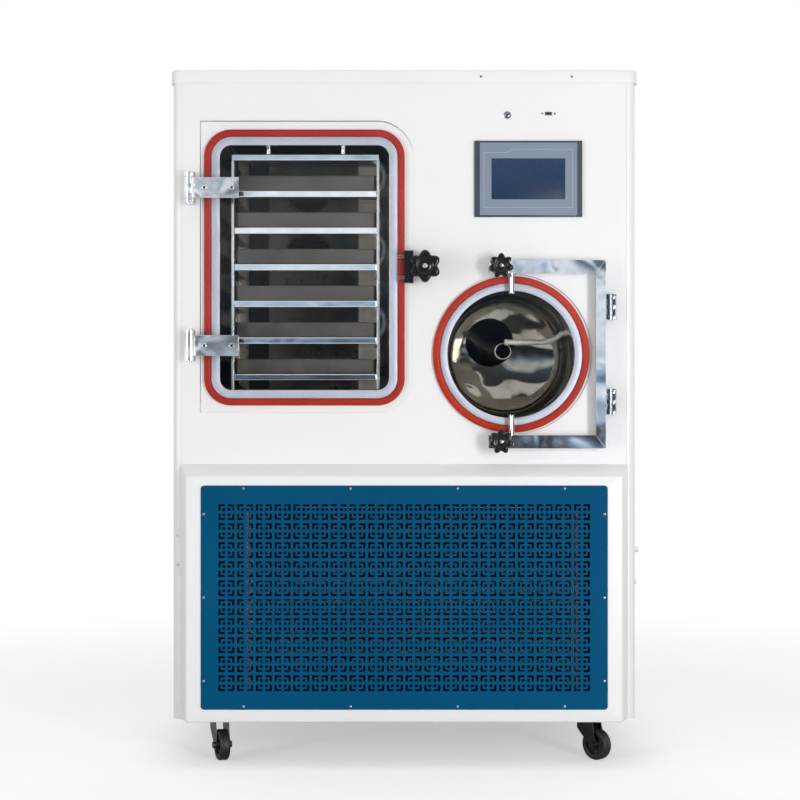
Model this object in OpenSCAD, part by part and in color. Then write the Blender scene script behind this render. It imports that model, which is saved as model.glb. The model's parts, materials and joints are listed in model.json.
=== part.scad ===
// Pilot freeze dryer: a floor cabinet on four casters with a rectangular drying chamber behind
// a clear side-hinged door on the left and a round cold trap behind a clamped clear disc on the right.
// X runs to the right, Y into the back of the cabinet, Z up from the floor; all sizes in mm.

/* [Cabinet] */
// Width of the cabinet body over its two side panels
cab_w = 972; // [880:2:1180]
// Depth of the cabinet body from front panel face to back panel face
cab_d = 700; // [660:5:860]
// Height from the floor to the top of the lid
cab_h = 1461; // [1420:1:1560]
// Outer radius of the two folded front corners
corner_r = 18; // [12:1:24]
// Thickness of every outer panel
sheet = 2; // [1.5:0.5:3]
// Thickness of the welded inner frame
frame_t = 3; // [2:0.5:4]
// Height of the lid's turned-down skirt
skirt_h = 27; // [18:1:40]
// How far the lid's skirt stands outside the body
skirt_over = 4; // [3:0.5:8]
// Distance of the two front seams from the cabinet sides
seam_in = 19; // [19:1:30]
// Gap left along a seam between two panels
seam_gap = 0.3; // [0.1:0.1:1]
// Height of the deck that parts the machine room from the chambers
deck_z = 640; // [638:1:680]

/* [Front surround and grille] */
// Height of the surround's top edge where it meets the front panel
surround_top = 634; // [620:1:634]
// How far the surround stands in front of the front panel
surround_proud = 40; // [25:1:60]
// Drop of the surround's sloping top edge
surround_bevel = 22; // [10:1:30]
// Narrowing of the surround's sloping sides
surround_side = 15; // [6:1:20]
// Distance of the surround's foot from the cabinet side
surround_margin = 16; // [8:1:24]
// Distance of the grille's edge from the side of the cabinet
grille_margin = 63; // [55:1:80]
// Height of the grille sheet
grille_h = 466; // [440:2:470]
// Height of the grille's centre above the floor
grille_z = 358; // [350:1:366]
// Thickness of the grille sheet
grille_t = 2; // [1:0.5:3]
// Corner radius of the grille sheet
grille_r = 7; // [3:1:12]
// Cells of the punched pattern across
grille_cols = 20; // [12:1:20]
// Cells of the punched pattern up
grille_rows = 10; // [6:1:10]
// Side of the square that the four corner slots of a cell frame
cell_size = 33; // [28:0.5:34]
// Length of each arm of a corner slot
slot_arm = 13.4; // [8:0.2:14]
// Width of a corner slot
slot_w = 4.4; // [3:0.2:6]
// Small square holes in the middle of each cell, four when set
cell_dots = 0; // [0:4:4]
// Side of a small square hole
dot_size = 5.8; // [4:0.2:6]
// Spacing of the small square holes
dot_pitch = 10.9; // [9:0.1:12]

/* [Drying chamber] */
// Distance of the chamber's axis left of the cabinet centre
chamber_left = 209; // [205:1:215]
// Height of the chamber's centre
chamber_z = 1046; // [1040:1:1060]
// Clear width inside the chamber
chamber_w = 354; // [340:2:360]
// Clear height inside the chamber
chamber_h = 512; // [500:2:520]
// Depth of the chamber behind the front panel
chamber_d = 450; // [430:5:470]
// Inner corner radius of the chamber
chamber_r = 24; // [12:1:30]
// Wall of both pressure vessels
vessel_wall = 3; // [2:0.5:4]
// Width of the steel flange left visible around the chamber mouth
flange_band = 18.5; // [16:0.5:20]
// How far both vessel flanges stand in front of the front panel
flange_proud = 6; // [4:0.5:8]
// Width of the silicone seal around the chamber flange
seal_band = 14.5; // [10:0.5:16]
// How far both seals stand in front of the front panel
seal_proud = 10; // [8:0.5:12]

/* [Shelves and trays] */
// Number of heated shelves
shelf_count = 7; // [5:1:7]
// Height of the top shelf's middle plane above the chamber centre
shelf_top = 236; // [230:1:237]
// Spacing of the shelves
shelf_pitch = 77.6; // [70:0.2:78]
// Thickness of a shelf
shelf_t = 14; // [10:0.5:16]
// Width of a shelf between the rack's uprights
shelf_w = 302; // [290:1:306]
// Depth of a shelf
shelf_d = 400; // [380:5:405]
// Distance of the shelf fronts behind the front panel
shelf_back = 35; // [25:1:40]
// Thickness of the rack's flat bars
bar_t = 6; // [5:0.5:7]
// Depth of the rack's front flat bars
bar_d = 30; // [20:1:40]
// Height of a tray
tray_h = 32; // [24:1:38]
// Depth of a tray from front to back
tray_d = 380; // [350:5:385]
// Wall of a tray
tray_wall = 1.5; // [1:0.25:2]
// Outer diameter of the hoses that link the shelves
hose_od = 10; // [8:0.5:12]

/* [Chamber door] */
// Thickness of the clear chamber door
door_t = 30; // [24:1:32]
// Gap between a closed door and its seal
door_gap = 0.3; // [0.2:0.1:0.6]
// Corner radius of the door on the latch side
door_r = 75; // [60:1:80]
// How far the door reaches past the seal on the hinge side
door_hinge_over = 6; // [4:1:8]
// How far the door reaches past the seal on the latch side
door_latch_over = 18; // [16:1:22]
// How far the door reaches past the seal above and below
door_end_over = 15; // [10:1:18]
// Distance of the two hinges from the chamber centre height
hinge_dz = 164; // [140:1:180]
// Diameter of the chamber door hinge barrels
hinge_od = 22.6; // [20:0.2:24]
// Diameter of the chamber door hinge pins
hinge_pin = 10; // [8:0.5:12]
// Distance of the hinge axis outside the door's edge
hinge_out = 21; // [20:0.5:24]
// Length of the turning hinge barrel
hinge_h = 44; // [36:1:50]
// Length of each fixed hinge barrel
hinge_end = 10; // [8:0.5:14]
// Thickness of the hinge strap on the door
strap_t = 5; // [4:0.5:6]
// Length of the hinge strap from the axis
strap_len = 102; // [90:1:110]

/* [Latch] */
// Width of the black latch block let into the door's edge
latch_w = 19; // [17:1:24]
// Height of the latch block
latch_h = 67.4; // [60:0.2:74]
// Distance of the latch knob's axis from the door's edge
latch_out = 24; // [22:1:26]
// Radius of the latch block's rounded nose
latch_nose = 16; // [13:0.5:18]
// Radius over the lobes of the latch knob
latch_knob_r = 33.6; // [30:0.2:36]
// Length of the latch knob
latch_knob_l = 31; // [24:1:34]
// Diameter of the latch stud
latch_stud_d = 10; // [8:0.5:12]

/* [Cold trap] */
// Distance of the trap's axis right of the cabinet centre
trap_right = 224; // [220:1:230]
// Height of the trap's axis
trap_z = 864.2; // [860:0.2:870]
// Inner diameter of the trap
trap_id = 266; // [250:2:270]
// Depth of the trap behind the front panel
trap_d = 290; // [260:5:310]
// Radius of the rounded edge at the back of the trap
trap_knuckle = 30; // [20:1:30]
// Inner radius of the trap's dished end
trap_crown = 266; // [240:2:300]
// Outer diameter of the trap flange
trap_flange_od = 298.6; // [290:0.2:302]
// Outer diameter of the trap seal
trap_seal_od = 328; // [318:1:330]
// Diameter of the clear disc that closes the trap
disc_d = 334; // [330:0.5:335]
// Thickness of the clear disc
disc_t = 25; // [20:0.5:26]
// Bore of the vapour duct between the two vessels
duct_id = 108; // [100:1:110]
// Wall of the vapour duct
duct_wall = 3; // [2:0.5:3]
// Outer diameter of the defrost water tube
defrost_od = 12; // [8:0.5:14]

/* [Trap door frame] */
// Height of the frame's two arms
arm_h = 27; // [22:0.5:28]
// Width of the frame's upright tube
post_w = 20.3; // [18:0.1:22]
// Distance of each arm's middle from the trap axis
arm_dz = 182.5; // [182:0.5:186]
// Distance of the arms' free ends left of the trap axis
arm_left = 48; // [44:1:52]
// Distance of the upright's outer face right of the trap axis
post_right = 195.7; // [193:0.1:198]
// Wall of the frame tube
tube_wall = 2; // [1.5:0.5:3]
// Diameter of the two pins the disc hangs on
disc_pin_d = 12; // [10:0.5:14]
// Diameter of the trap hinge knuckles
leaf_od = 13.4; // [12:0.2:15]
// Diameter of the trap hinge pins
leaf_pin = 6; // [5:0.5:7]
// Height of a trap hinge
leaf_h = 53; // [45:1:60]
// Distance of each trap hinge from the trap axis height
leaf_dz = 99; // [80:1:120]
// Radius over the lobes of the clamp knobs
clamp_knob_r = 26; // [22:0.5:28]
// Diameter of the clamp studs
clamp_stud_d = 8; // [6:0.5:10]

/* [Controls] */
// Width of the operator panel
hmi_w = 226; // [210:1:240]
// Height of the operator panel
hmi_h = 160; // [140:1:170]
// Distance of the operator panel's middle right of the cabinet centre
hmi_right = 260.5; // [255:0.5:265]
// Height of the operator panel's middle
hmi_z = 1232.5; // [1225:0.5:1240]
// Outer diameter of the push button's bezel
button_od = 17; // [16:0.5:20]
// Diameter of the push button's cap
button_cap_d = 12.4; // [11:0.1:12.4]

/* [Casters] */
// Diameter of the caster wheels
wheel_d = 66; // [60:1:70]
// Width of the caster wheels
wheel_w = 22; // [18:1:24]
// Distance of a wheel's axle behind its swivel axis
caster_trail = 22; // [18:1:26]
// Diameter of the caster axles
axle_d = 8; // [6:0.5:10]
// Gap between the fork crown and the top plate bearing
caster_gap = 0.5; // [0.3:0.1:1]

/* [Machinery] */
// Number of rows of tube in the air-cooled coil
coil_rows = 17; // [9:2:17]
// Spacing of the coil tubes
coil_pitch = 21.5; // [20:0.1:22]
// Outer diameter of the coil tubes
coil_od = 9.5; // [8:0.1:10]
// Diameter of the fan
fan_d = 360; // [300:5:370]
// Diameter of the compressor shell
compressor_d = 210; // [180:2:230]

/* [Hidden] */
$fn = 96;
eps = 1;
run = 0.05;
loose = 0.3;
face_y = -cab_d / 2;
back_y = cab_d / 2;
half_w = cab_w / 2;
ground_gap = 98;
panel_top = cab_h - sheet;
seam_x = half_w - seam_in;
chamber_x = -chamber_left;
trap_x = trap_right;
door_back = face_y - seal_proud - door_gap;
door_front = door_back - door_t;
seal_w = chamber_w + 2 * (flange_band + seal_band);
seal_h = chamber_h + 2 * (flange_band + seal_band);
door_left = chamber_x - seal_w / 2 - door_hinge_over;
door_right = chamber_x + seal_w / 2 + door_latch_over;
hinge_x = door_left - hinge_out;
hinge_y = door_front - strap_t / 2;
hinge_zs = [chamber_z + hinge_dz, chamber_z - hinge_dz];
strap_screws = [31, 88];
latch_x = door_right + latch_out;
latch_screw_dz = 22.3;
latch_screw_d = 6;
knob_gap = 1;
nose_in = 4;
latch_boss = 8;
clamp_boss = 6;
latch_stud_y0 = door_front - knob_gap - latch_knob_l - 3;
disc_back = face_y - seal_proud - door_gap;
disc_front = disc_back - disc_t;
disc_mid = (disc_front + disc_back) / 2;
arm_x0 = trap_x - arm_left;
post_x1 = trap_x + post_right;
clamp_x = arm_x0 + 25;
clamp_knob_l = 28;
leaf_t = 2.5;
leaf_x = post_x1 + 10.3;
knuckles = 5;
knuckle_gap = 0.4;
knuckle_h = (leaf_h - (knuckles - 1) * knuckle_gap) / knuckles;
button_x = hmi_right - 43.8;
button_z = hmi_z + 134.5;
usb_x = hmi_right + 42.5;
usb_z = hmi_z + 137.5;
usb_screw_dx = 13.1;
screw_d = 3;
head_d = 5.5;
head_h = 2;
shelf_z = [for (i = [0 : shelf_count - 1]) chamber_z + shelf_top - i * shelf_pitch];
shelf_front = face_y + shelf_back;
port_x = chamber_x - 12;
port_z = chamber_z + 94;
duct_x = trap_x - 32;
duct_z = trap_z + 31;
duct_y = face_y + 540;
// the duct's far edge meets the crown of the trap here, with a little to spare
duct_far = norm([duct_x - trap_x, duct_z - trap_z]) + duct_id / 2 + duct_wall;
duct_start = face_y + trap_d - trap_crown - vessel_wall - 4
    + sqrt(pow(trap_crown + vessel_wall, 2) - pow(duct_far, 2));
suction_x = duct_x + 28.5;
suction_z = duct_z - 20;
suction_od = 36;
suction_wall = 1.5;
kf_bore = 25;
kf_od = 40;
kf_end = back_y + 36;
side_y = face_y + 150;
drain_z = 442;
air_z = 372;
nozzle_out = 24;
inlet_x = -half_w + 112;
inlet_z = 215;
caster_x = half_w - 90;
caster_y = cab_d / 2 - 85;
axle_z = wheel_d / 2;
crown_top = 87;
crown_t = 3;
kingpin_d = 12;
coil_y = face_y + 32;
coil_z = 342;
fin_w = 670;
fin_d = 66;
fin_h = 390;
fan_z = coil_z + 3;
fan_x = 17;
fan_y = face_y + 100;
cover_screw_x = [161, 352];
corner_screw_z = [484, 422];
shift_x = -nozzle_out / 2 + skirt_over / 2;
shift_y = -(latch_stud_y0 + kf_end) / 2;

module placed() translate([shift_x, shift_y, 0]) children();
// Extrudes a drawing of the XZ plane between two depths.
module slab_y(y0, y1) translate([0, y1, 0]) rotate([90, 0, 0]) linear_extrude(y1 - y0) children();
// Extrudes a drawing of the YZ plane between two widths.
module slab_x(x0, x1) translate([x0, 0, 0]) rotate([90, 0, 90]) linear_extrude(x1 - x0) children();
module rod_y(d, x, z, y0, y1)
    translate([x, y1, z]) rotate([90, 0, 0]) cylinder(d = d, h = y1 - y0);
module rod_x(d, y, z, x0, x1)
    translate([x0, y, z]) rotate([0, 90, 0]) cylinder(d = d, h = x1 - x0);
module rod_z(d, x, y, z0, z1) translate([x, y, z0]) cylinder(d = d, h = z1 - z0);
module box(lo, hi) translate(lo) cube(hi - lo);
// Centred rectangle with round corners.
module round_rect(w, h, r) {
    square([w, h - 2 * r], center = true);
    square([w - 2 * r, h], center = true);
    for (sx = [-1, 1])
        for (sy = [-1, 1])
            translate([sx * (w / 2 - r), sy * (h / 2 - r)]) circle(r = r);
}
// Plan of the cabinet body, drawn in from its outside by a distance.
module plan(inset) {
    r = corner_r - inset;
    half = half_w - inset;
    front = face_y + inset;
    back = back_y - inset;
    translate([-half, front + r]) square([2 * half, back - front - r]);
    translate([-half + r, front]) square([2 * (half - r), r]);
    for (s = [-1, 1]) translate([s * (half - r), front + r]) circle(r = r);
}
module plan_ring(outer, inner) {
    difference() {
        plan(outer);
        plan(inner);
    }
}
// Round bar screw seen from the front: head outside, shank going back.
module front_screw(x, y, z, length, shank = screw_d, head = head_d, thick = head_h) {
    rod_y(head, x, z, y - thick, y);
    rod_y(shank, x, z, y - eps, y + length);
}
module star_2d(tip_r, lobe_r, waist_r, lobes, start) {
    circle(r = waist_r);
    for (i = [0 : lobes - 1])
        rotate(start + i * 360 / lobes) {
            translate([0, -lobe_r]) square([tip_r - lobe_r, 2 * lobe_r]);
            translate([tip_r - lobe_r, 0]) circle(r = lobe_r);
        }
}

// ---- cabinet ----
module frame() color("lightslategray") placed() {
    post = 60;
    rim = 38;
    top_rim = 35;
    leg = 30;
    leg_wall = 2;
    saddle_t = 6;
    saddle_w = 180;
    difference() {
        union() {
            translate([0, 0, ground_gap]) linear_extrude(frame_t) plan(sheet);
            translate([0, 0, ground_gap]) linear_extrude(rim) plan_ring(sheet, sheet + frame_t);
            translate([0, 0, panel_top - top_rim]) linear_extrude(top_rim)
                plan_ring(sheet, sheet + frame_t);
            translate([0, 0, deck_z - frame_t]) linear_extrude(frame_t) plan(sheet);
            translate([0, 0, ground_gap]) linear_extrude(panel_top - ground_gap) intersection() {
                plan_ring(sheet, sheet + frame_t);
                for (sx = [-1, 1])
                    for (sy = [-1, 1])
                        translate([sx * (half_w - post / 2), sy * (cab_d / 2 - post / 2)])
                            square(post, center = true);
            }
        }
        // hose and cable openings through the deck
        for (x = [-half_w + 120, half_w - 120]) rod_z(60, x, back_y - 80, deck_z - 2 * frame_t, deck_z + eps);
    }
    chamber_bottom = chamber_z - chamber_h / 2 - vessel_wall;
    for (sx = [-1, 1])
        for (dy = [80, chamber_d - 50])
            difference() {
                box([chamber_x + sx * 140 - leg / 2, face_y + dy - leg / 2, deck_z],
                    [chamber_x + sx * 140 + leg / 2, face_y + dy + leg / 2, chamber_bottom]);
                box([chamber_x + sx * 140 - leg / 2 + leg_wall, face_y + dy - leg / 2 + leg_wall,
                     deck_z - eps],
                    [chamber_x + sx * 140 + leg / 2 - leg_wall, face_y + dy + leg / 2 - leg_wall,
                     chamber_bottom + eps]);
            }
    for (dy = [60, trap_d - 60])
        difference() {
            box([trap_x - saddle_w / 2, face_y + dy, deck_z],
                [trap_x + saddle_w / 2, face_y + dy + saddle_t, trap_z - trap_id / 4]);
            rod_y(trap_id + 2 * vessel_wall + 2 * run, trap_x, trap_z, face_y, back_y);
        }
}

// Puts a front-facing drawing on the left front corner's round, turned square to it.
module on_corner(z)
    translate([-half_w + corner_r, face_y + corner_r, z]) rotate([0, 0, -26]) children();
module side_panel(s) color("whitesmoke") placed() difference() {
    translate([0, 0, ground_gap]) linear_extrude(panel_top - ground_gap) intersection() {
        plan_ring(0, sheet);
        translate([s > 0 ? seam_x : -cab_w, -cab_d]) square([cab_w - seam_x, 2 * cab_d]);
    }
    if (s > 0) {
        rod_x(16.4, side_y, drain_z, half_w - 2 * sheet, half_w + eps);
        rod_x(8.4, side_y, air_z, half_w - 2 * sheet, half_w + eps);
    }
    if (s < 0)
        for (z = corner_screw_z)
            on_corner(z) rod_y(screw_d + 0.2, 0, 0, -corner_r - eps, -corner_r + 2 * sheet);
}

module back_panel() color("whitesmoke") placed() difference() {
    slab_y(back_y - sheet, back_y)
        difference() {
            translate([-seam_x + seam_gap, ground_gap])
                square([2 * (seam_x - seam_gap), panel_top - ground_gap]);
            translate([suction_x, suction_z]) circle(d = kf_bore + 2 * suction_wall + 0.4);
            // power inlet and cooling louvres
            translate([inlet_x, inlet_z]) square([48, 28], center = true);
            for (x = cover_screw_x) translate([x, cab_h - 14]) circle(d = screw_d + 0.2);
            for (x = [-240, 120])
                for (i = [0 : 9]) translate([x, 250 + 30 * i]) square([200, 8]);
            for (i = [0 : 5]) translate([-100, 1180 + 30 * i]) square([200, 8]);
        }
}

module top_cover() color("whitesmoke") placed() difference() {
    union() {
        translate([0, 0, panel_top]) linear_extrude(sheet) plan(-skirt_over);
        translate([0, 0, cab_h - skirt_h]) linear_extrude(skirt_h)
            plan_ring(-skirt_over, sheet - skirt_over);
    }
    for (x = cover_screw_x)
        for (s = [-1, 1])
            rod_y(screw_d + 0.2, x, cab_h - 14, s * (cab_d / 2 + skirt_over / 2) - 2 * skirt_over,
                  s * (cab_d / 2 + skirt_over / 2) + 2 * skirt_over);
}

module front_panel() color("whitesmoke") placed() difference() {
    slab_y(face_y, face_y + sheet) difference() {
        translate([-seam_x + seam_gap, ground_gap])
            square([2 * (seam_x - seam_gap), panel_top - ground_gap]);
        translate([chamber_x, chamber_z])
            round_rect(chamber_w + 2 * vessel_wall + 2 * loose, chamber_h + 2 * vessel_wall + 2 * loose,
                       chamber_r + vessel_wall + loose);
        translate([trap_x, trap_z]) circle(d = trap_id + 2 * vessel_wall + 2 * loose);
        translate([hmi_right, hmi_z]) square([hmi_w - 12 + loose, hmi_h - 12 + loose], center = true);
        translate([button_x, button_z]) circle(d = button_od - 1.2);
        translate([usb_x, usb_z]) square([15.3, 7.8], center = true);
        for (s = [-1, 1]) translate([usb_x + s * usb_screw_dx, usb_z]) circle(d = screw_d + 0.2);
        translate([0, grille_z]) square([cab_w - 172, grille_h - 36], center = true);
        for (x = cover_screw_x) translate([x, cab_h - 14]) circle(d = screw_d + 0.2);
    }
}

// Folded surround, drawn in from its outside by a distance.
module surround_body(inset) {
    over = inset > 0 ? eps : 0;
    top_n = inset * sqrt(1 + pow(surround_bevel / surround_proud, 2));
    side_n = inset * sqrt(1 + pow(surround_side / surround_proud, 2));
    y_out = face_y - surround_proud + inset;
    y_in = face_y + over;
    half = half_w - surround_margin;
    intersection() {
        slab_x(-cab_w / 2, cab_w / 2) polygon([
            [y_in, ground_gap + inset], [y_out, ground_gap + inset],
            [y_out, surround_top - surround_bevel * (face_y - y_out) / surround_proud - top_n],
            [y_in, surround_top - surround_bevel * (face_y - y_in) / surround_proud - top_n]]);
        translate([0, 0, ground_gap]) linear_extrude(surround_top - ground_gap) polygon([
            [half - surround_side * (face_y - y_in) / surround_proud - side_n, y_in],
            [half - surround_side * (face_y - y_out) / surround_proud - side_n, y_out],
            [-half + surround_side * (face_y - y_out) / surround_proud + side_n, y_out],
            [-half + surround_side * (face_y - y_in) / surround_proud + side_n, y_in]]);
    }
}
grille_w = cab_w - 2 * grille_margin;
grille_y = face_y - surround_proud;
// Places of the fourteen grille screws: four above, four below and three on each side.
grille_screw_at = concat(
    [for (s = [-1, 1]) for (k = [-1.5, -0.5, 0.5, 1.5]) [k * grille_w * 0.263, s * (grille_h / 2 - 6.5)]],
    [for (s = [-1, 1]) for (k = [-1, 0, 1]) [s * (grille_w / 2 - 6.5), k * grille_h * 0.372]]);

module front_surround() color("whitesmoke") placed() difference() {
    surround_body(0);
    surround_body(sheet);
    box([-(cab_w - 172) / 2, grille_y - eps, grille_z - (grille_h - 36) / 2],
        [(cab_w - 172) / 2, grille_y + 2 * sheet, grille_z + (grille_h - 36) / 2]);
    for (p = grille_screw_at)
        rod_y(screw_d + 0.2, p[0], grille_z + p[1], grille_y - eps, grille_y + 2 * sheet);
}

module corner_slot()
    polygon([[0, 0], [-slot_arm, 0], [-slot_arm, -slot_w], [-slot_w, -slot_w], [-slot_w, -slot_arm],
             [0, -slot_arm]]);
module grille_cell() {
    for (sx = [0, 1])
        for (sy = [0, 1])
            mirror([sx, 0]) mirror([0, sy]) translate([cell_size / 2, cell_size / 2]) corner_slot();
    if (cell_dots > 0)
        for (sx = [-1, 1])
            for (sy = [-1, 1])
                translate([sx, sy] * dot_pitch / 2) square(dot_size, center = true);
}
module grille_panel() color([0.02, 0.31, 0.48]) placed() {
    pitch_x = (grille_w - 68) / grille_cols;
    pitch_z = (grille_h - 71) / grille_rows;
    slab_y(grille_y - grille_t, grille_y) translate([0, grille_z]) difference() {
        round_rect(grille_w, grille_h, grille_r);
        for (i = [0 : grille_cols - 1])
            for (j = [0 : grille_rows - 1])
                translate([(i - (grille_cols - 1) / 2) * pitch_x, (j - (grille_rows - 1) / 2) * pitch_z])
                    grille_cell();
        for (p = grille_screw_at) translate(p) circle(d = screw_d + 0.2);
    }
}
module grille_screws() color("silver") placed()
    for (p = grille_screw_at) front_screw(p[0], grille_y - grille_t, grille_z + p[1], 8);

module panel_screws() color("silver") placed() {
    for (x = cover_screw_x) {
        front_screw(x, face_y - skirt_over, cab_h - 14, skirt_over + sheet);
        mirror([0, 1, 0]) front_screw(x, -back_y - skirt_over, cab_h - 14, skirt_over + sheet);
    }
    for (z = corner_screw_z) on_corner(z) front_screw(0, -corner_r, 0, sheet);
    for (s = [-1, 1]) front_screw(usb_x + s * usb_screw_dx, face_y, usb_z, 8, screw_d, 5, 1.2);
}

// ---- casters ----
module at_caster(sx, sy, turn)
    translate([sx * caster_x, sy * caster_y, 0]) rotate([0, 0, turn]) children();
module caster_plates() color("dimgray") placed()
    for (sx = [-1, 1])
        for (sy = [-1, 1])
            at_caster(sx, sy, 0) {
                translate([-30, -30, ground_gap - 3]) cube([60, 60, 3]);
                rod_z(44, 0, 0, crown_top + caster_gap, ground_gap - 3);
                rod_z(kingpin_d, 0, 0, crown_top - crown_t - caster_gap - 3, crown_top + caster_gap);
                rod_z(19, 0, 0, crown_top - crown_t - caster_gap - 3, crown_top - crown_t - caster_gap);
            }
// Fork with its crown on the swivel axis and its legs trailing along +X to the axle.
module caster_fork(sx, sy, turn) color("dimgray") placed() at_caster(sx, sy, turn) {
    leg_t = 3;
    leg_in = wheel_w / 2 + 1.5;
    difference() {
        union() {
            rod_z(50, 0, 0, crown_top - crown_t, crown_top);
            for (s = [-1, 1])
                slab_ys(s > 0 ? leg_in : -leg_in - leg_t, leg_t) difference() {
                    union() {
                        polygon([[-20, crown_top], [20, crown_top], [caster_trail + 10, axle_z],
                                 [caster_trail - 10, axle_z], [-20, crown_top - 22]]);
                        translate([caster_trail, axle_z]) circle(r = 10);
                    }
                }
            rod_y(axle_d, caster_trail, axle_z, -leg_in - leg_t - 3, leg_in + leg_t + 3);
            for (s = [-1, 1])
                rod_y(14, caster_trail, axle_z, s > 0 ? leg_in + leg_t : -leg_in - leg_t - 5,
                      s > 0 ? leg_in + leg_t + 5 : -leg_in - leg_t);
        }
        rod_z(kingpin_d + 2 * run, 0, 0, crown_top - 3 * crown_t, crown_top + eps);
        // room inside the legs for the kingpin's riveted head
        rod_z(21, 0, 0, crown_top - crown_t - 12, crown_top - crown_t);
    }
}
module slab_ys(y0, t) translate([0, y0 + t, 0]) rotate([90, 0, 0]) linear_extrude(t) children();
module caster_wheel(sx, sy, turn) color("darkslategray") placed() at_caster(sx, sy, turn)
    translate([caster_trail, 0, axle_z]) rotate([90, 0, 0]) rotate_extrude() wheel_2d();
module wheel_2d() {
    bore = axle_d / 2 + run;
    edge = 4;
    r = wheel_d / 2;
    translate([bore, -wheel_w / 2]) square([10 - bore, wheel_w]);
    translate([10 - eps, -wheel_w / 4]) square([r - 18 + eps, wheel_w / 2]);
    translate([r - 10, -wheel_w / 2]) square([10 - edge, wheel_w]);
    translate([r - edge - eps, -wheel_w / 2 + edge]) square([edge + eps, wheel_w - 2 * edge]);
    for (s = [-1, 1]) translate([r - edge, s * (wheel_w / 2 - edge)]) circle(r = edge);
}

// ---- drying chamber ----
module drying_chamber() color("silver") placed() difference() {
    union() {
        slab_y(face_y, face_y + chamber_d) translate([chamber_x, chamber_z])
            round_rect(chamber_w + 2 * vessel_wall, chamber_h + 2 * vessel_wall, chamber_r + vessel_wall);
        slab_y(face_y - flange_proud, face_y) translate([chamber_x, chamber_z])
            round_rect(chamber_w + 2 * flange_band, chamber_h + 2 * flange_band, chamber_r + flange_band);
    }
    slab_y(face_y - flange_proud - eps, face_y + chamber_d - vessel_wall)
        translate([chamber_x, chamber_z]) round_rect(chamber_w, chamber_h, chamber_r);
    rod_y(duct_id, port_x, port_z, face_y + chamber_d - 2 * vessel_wall, face_y + chamber_d + eps);
}
module chamber_seal() color("firebrick") placed()
    slab_y(face_y - seal_proud, face_y) translate([chamber_x, chamber_z]) difference() {
        round_rect(seal_w, seal_h, chamber_r + flange_band + seal_band);
        round_rect(chamber_w + 2 * flange_band + 0.2, chamber_h + 2 * flange_band + 0.2,
                   chamber_r + flange_band + 0.1);
    }

// ---- chamber door ----
module door_2d() {
    w = door_right - door_left;
    h = seal_h + 2 * door_end_over;
    translate([door_left, chamber_z - h / 2]) square([w - door_r, h]);
    translate([door_left, chamber_z - h / 2 + door_r]) square([w, h - 2 * door_r]);
    for (s = [-1, 1]) translate([door_right - door_r, chamber_z + s * (h / 2 - door_r)]) circle(r = door_r);
}
module chamber_door() color("lightcyan", 0.4) placed() difference() {
    slab_y(door_front, door_back) difference() {
        door_2d();
        translate([door_right - latch_w, chamber_z - latch_h / 2 - loose])
            square([latch_w + eps, latch_h + 2 * loose]);
    }
    for (z = hinge_zs)
        for (dx = strap_screws)
            rod_y(6.4, hinge_x + dx, z, door_front - eps, door_back + eps);
    for (s = [-1, 1])
        rod_x(latch_screw_d + 0.2, (door_front + door_back) / 2, chamber_z + s * latch_screw_dz,
              door_right - latch_w - 17, door_right);
}
module hinge_ring(z0, z1, bore)
    difference() {
        rod_z(hinge_od, hinge_x, hinge_y, z0, z1);
        rod_z(bore, hinge_x, hinge_y, z0 - eps, z1 + eps);
    }
module hinge_seats() color("silver") placed()
    for (z = hinge_zs) {
        half = hinge_h / 2 + knuckle_gap + hinge_end;
        box([hinge_x - 8, hinge_y + 12, z - half], [hinge_x + 8, face_y, z + half]);
        for (s = [0, 1]) {
            z0 = s > 0 ? z + half - hinge_end : z - half;
            difference() {
                union() {
                    rod_z(hinge_od, hinge_x, hinge_y, z0, z0 + hinge_end);
                    box([hinge_x - 8, hinge_y, z0], [hinge_x + 8, hinge_y + 12, z0 + hinge_end]);
                }
                rod_z(hinge_pin + 2 * run, hinge_x, hinge_y, z0 - eps, z0 + hinge_end + eps);
            }
        }
    }
module hinge_straps() color("silver") placed()
    for (z = hinge_zs)
        difference() {
            union() {
                rod_z(hinge_od, hinge_x, hinge_y, z - hinge_h / 2, z + hinge_h / 2);
                box([hinge_x, hinge_y - strap_t / 2, z - hinge_h / 2 + 0.5],
                    [hinge_x + strap_len, hinge_y + strap_t / 2, z + hinge_h / 2 - 0.5]);
            }
            rod_z(hinge_pin + 2 * run, hinge_x, hinge_y, z - hinge_h, z + hinge_h);
            for (dx = strap_screws)
                rod_y(6.4, hinge_x + dx, z, hinge_y - strap_t, hinge_y + strap_t);
        }
module hinge_pins() color("silver") placed() {
    for (z = hinge_zs) {
        half = hinge_h / 2 + knuckle_gap + hinge_end + 1.6;
        rod_z(hinge_pin, hinge_x, hinge_y, z - half, z + half);
        rod_z(hinge_pin + 4, hinge_x, hinge_y, z + half - 1.6, z + half + 1);
    }
    for (s = [-1, 1])
        rod_z(leaf_pin, leaf_x, disc_mid, trap_z + s * leaf_dz - leaf_h / 2 - 1,
              trap_z + s * leaf_dz + leaf_h / 2 + 1);
}
module door_screws() color("silver") placed() {
    for (z = hinge_zs)
        for (dx = strap_screws)
            difference() {
                front_screw(hinge_x + dx, door_front - strap_t, z, strap_t + door_t - 3, 6, 11, 3.4);
                slab_y(door_front - strap_t - 3.4 - eps, door_front - strap_t - 1.6)
                    translate([hinge_x + dx, z]) circle(d = 4.6, $fn = 6);
            }
    for (s = [-1, 1])
        rod_x(latch_screw_d, (door_front + door_back) / 2, chamber_z + s * latch_screw_dz,
              door_right - latch_w - 16.5, door_right - 6);
}
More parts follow.
